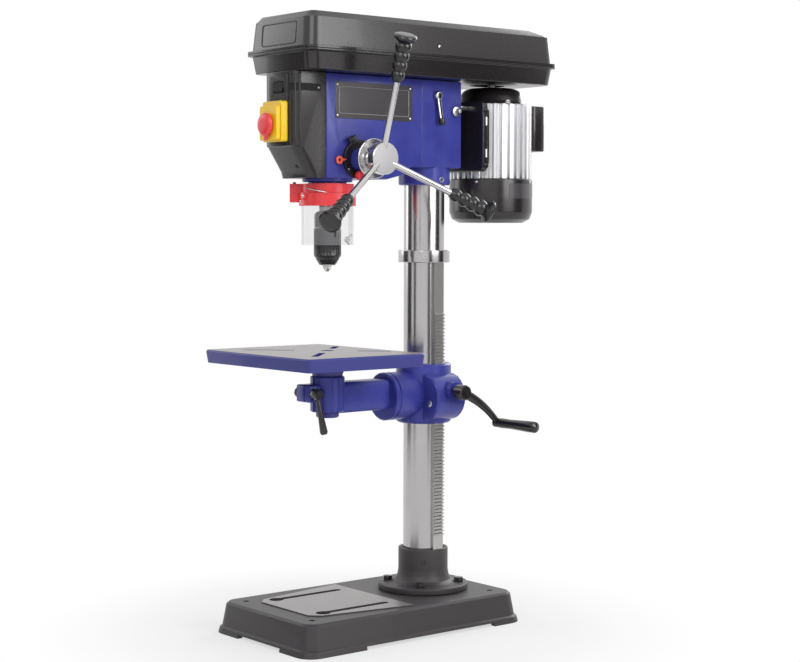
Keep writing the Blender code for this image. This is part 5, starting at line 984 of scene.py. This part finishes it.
# %% [markdown]
# ## Motor body
# The motor body is an extruded aluminium tube with thirty cooling fins. Seen from above, its radius is a root plus
# a clipped cosine: r = root + depth * clip(0.5 + 1.6 cos(30 a), 0, 1), which gives flat fins with steep, slightly
# sloping sides. The domed end bell above it is black, so it is a separate turned piece.
# %% Motor fins and bell
case = Box(*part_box("motor_case"))
motor, fin_out = (0, case.middle.y), case.half.y
motor_foot = (*motor, 0)
count, depth, inner, body_low, body_top, top = 30, 7, fin_out - 15, case.low.z, 879, case.high.z
fins = fin_out - depth + depth * np.clip(0.5 + 1.6 * np.cos(count * circle(count * 24)), 0, 1)
radii = np.array([fins * shrink for shrink in (0.97, 1, 1, 0.985)] + [np.full(len(fins), inner)] * 2)
heights = (body_low, body_low + 0.8, body_top - 1.2, body_top, body_top - 2, body_low)
ringed("motor_fins", radii, heights, motor_foot, UP, "aluminium", "motor_mount", ("motor_case",), loop=True, sharp=30)
turned("motor_bell", [
    (7.6, body_top - 9), (fin_out - 8.2, body_top - 9), (fin_out - 8.2, body_top - 1), (fin_out - 12.5, body_top + 4),
    (fin_out - 17, body_top + 17), (fin_out - 23, body_top + 26), (fin_out - 32, top - 2), (18, top), (7.6, top)],
    motor_foot, UP, "black_plastic", "motor_mount", sides=96, ease=4, loop=True)
for i in range(4):
    at = polar(68.5, 74 + 90 * i, body_top - 0.4, motor)[0]
    hex_head(f"motor_bolt_{i + 1}", at, UP, 8.5, 4.5, "motor_mount")
    dome(f"motor_bolt_end_{i + 1}", at + (0, 0, 5.8), UP, 4.4, 2.4, "motor_mount")
print(count, "fins out to", round(fin_out, 1), "mm")

# %% [markdown]
# ## Fan cover
# A black cap covers the fan at the motor's lower end. It could be closed below, but air is drawn in there, so its
# outline folds back inside. A bare dark plate is wrapped round it, and four screws hold it.
# %% Fan cover with its bare plate
fan = Box(*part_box("fan_cover"))
outer, low, high = fan.half.x, fan.low.z, fan.high.z
turned("fan_cover_shell", [
    (outer, high), (outer, low + 20), (outer - 5, low + 7), (outer - 18, low), (26, low), (26, low + 3),
    (outer - 19, low + 3), (outer - 8, low + 9), (outer - 3, low + 21), (outer - 3, high)],
    motor_foot, UP, "black_plastic", "motor_mount", ("fan_cover",), 96, 1.6, True)
patch = polar(outer + np.array([-0.5, 0.35, 0.35, -0.5]), np.linspace(-16, 44, 30)[:, None],
              np.array([706, 706.4, 733.6, 734]), motor)[0]
grid_piece("fan_cover_plate", patch, "dark_bare", "motor_mount")
for i, degrees in enumerate((-62, 28, 118, 208)):
    dome(f"fan_screw_{i + 1}", *polar(outer - 0.4, degrees, high - 5, motor), 5.4, 1.5, "motor_mount", "steel")
print("fan cover radius", round(outer, 2), "mm")

# %% [markdown]
# ## Motor bracket and terminal box
# The bracket is a plate with a saddle that the motor sits in, held by bolts and two chromed studs on its edge.
# The terminal box has a cover, whose seam could be a groove, and is a thin dark plate that stands just proud.
# %% Bracket studs and terminal box
softened("motor_bracket", 0.8)
side, stud_y = Box(*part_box("motor_bracket")).high.x, 295
for i, z in enumerate((843.5, 786.5)):
    swept(f"bracket_stud_{i + 1}", [(side + 1.2, stud_y, z + h) for h in (-8, -7.4, 7.4, 8)], (1.4, 2.3, 2.3, 1.4),
          "chrome", "motor_mount", sides=24)
for i, z in enumerate((862, 764)):
    hex_head(f"bracket_bolt_{i + 1}", (side - 0.2, stud_y, z), RIGHT, 8.5, 3.4, "motor_mount", "black_plastic", False)
softened("terminal_box", 0.5, 1)
cover = Box(*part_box("terminal_box"))
low, high = cover.low, cover.high
plate("terminal_seam", (low.x - 0.15, high.x + 0.15, low.z - 0.15, high.z + 0.15), high.y - 12.6, high.y - 12, 0.1,
      8, "hole_black", "motor_mount", "Y")
print("bracket's right edge at x", round(side, 2), "mm")

# %% [markdown]
# ## Tension lever and slide lock
# The tension lever is a round boss with a flat bar and a black tip, and turning it moves the motor back to tighten
# the belts. The bar could be a bevelled box. Its section here is a squared circle, where cosine and sine keep
# their sign and take a half power, so that its edges are soft all along.
# %% Tension lever and slide lock
pivot = np.array((Box(*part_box("tension_lever")).low.x + 22, 206, 886.5))
turned("lever_boss", [(0, -10), (4, -10), (4, 0.2), (8, 0.2), (8, 6), (6.4, 8.6), (0, 9)], pivot, RIGHT, "chrome",
       "tension_lever", ("tension_lever",), 48, 1.2)
along, start, t = unit(np.array([4, 6, -52.0])), pivot + (5, 0, 0), circle(28)
wide = unit(np.cross(along, RIGHT))
thin = np.cross(along, wide)
s, w, h = np.array([(0, 4.6, 2.2), (10, 4.2, 2.0), (30, 3.8, 1.8), (46, 3.6, 1.8), (50, 3.2, 1.6)]).T[..., None]
c = np.sign(np.cos(t)) * np.abs(np.cos(t)) ** 0.5 * w
d = np.sign(np.sin(t)) * np.abs(np.sin(t)) ** 0.5 * h
bar = start + s[..., None] * along + c[..., None] * wide + d[..., None] * thin
grid_piece("lever_bar", bar, "chrome", "tension_lever")
turned("lever_tip", [(0, 0), (4.6, 0), (5.6, 2), (5.6, 9), (3.4, 13), (0, 13.6)], start + along * 40, along,
       "black_plastic", "tension_lever", sides=40, ease=1.2)
screw = Box(*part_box("slide_lock_screw"))
span = 2 * screw.half.x
turned("slide_lock_turning", [(0, 0), (9, 0), (9, 5), (4, 6), (4, span - 1), (3, span), (0, span)],
       (screw.low.x, screw.middle.y, screw.middle.z), RIGHT, "steel", "slide_lock", ("slide_lock_screw",), 48, 0.6)
print("tension pivot at", pivot.round(2))

# %% [markdown]
# ## Nodes that keep their frame shape
# Whatever no piece stands for is shown as it came, mostly parts inside the guards. They still get their real
# finish, since they show when a cover swings open.
# %% Finish for the rest
special = {"column": "column_steel", "chuck_body": "dark_steel"}
for node, piece in nodes.items():
    piece.data.materials.clear()
    piece.data.materials.append(finishes[special.get(node, slot_of[node])].material)
print("nodes given a finish:", len(nodes))
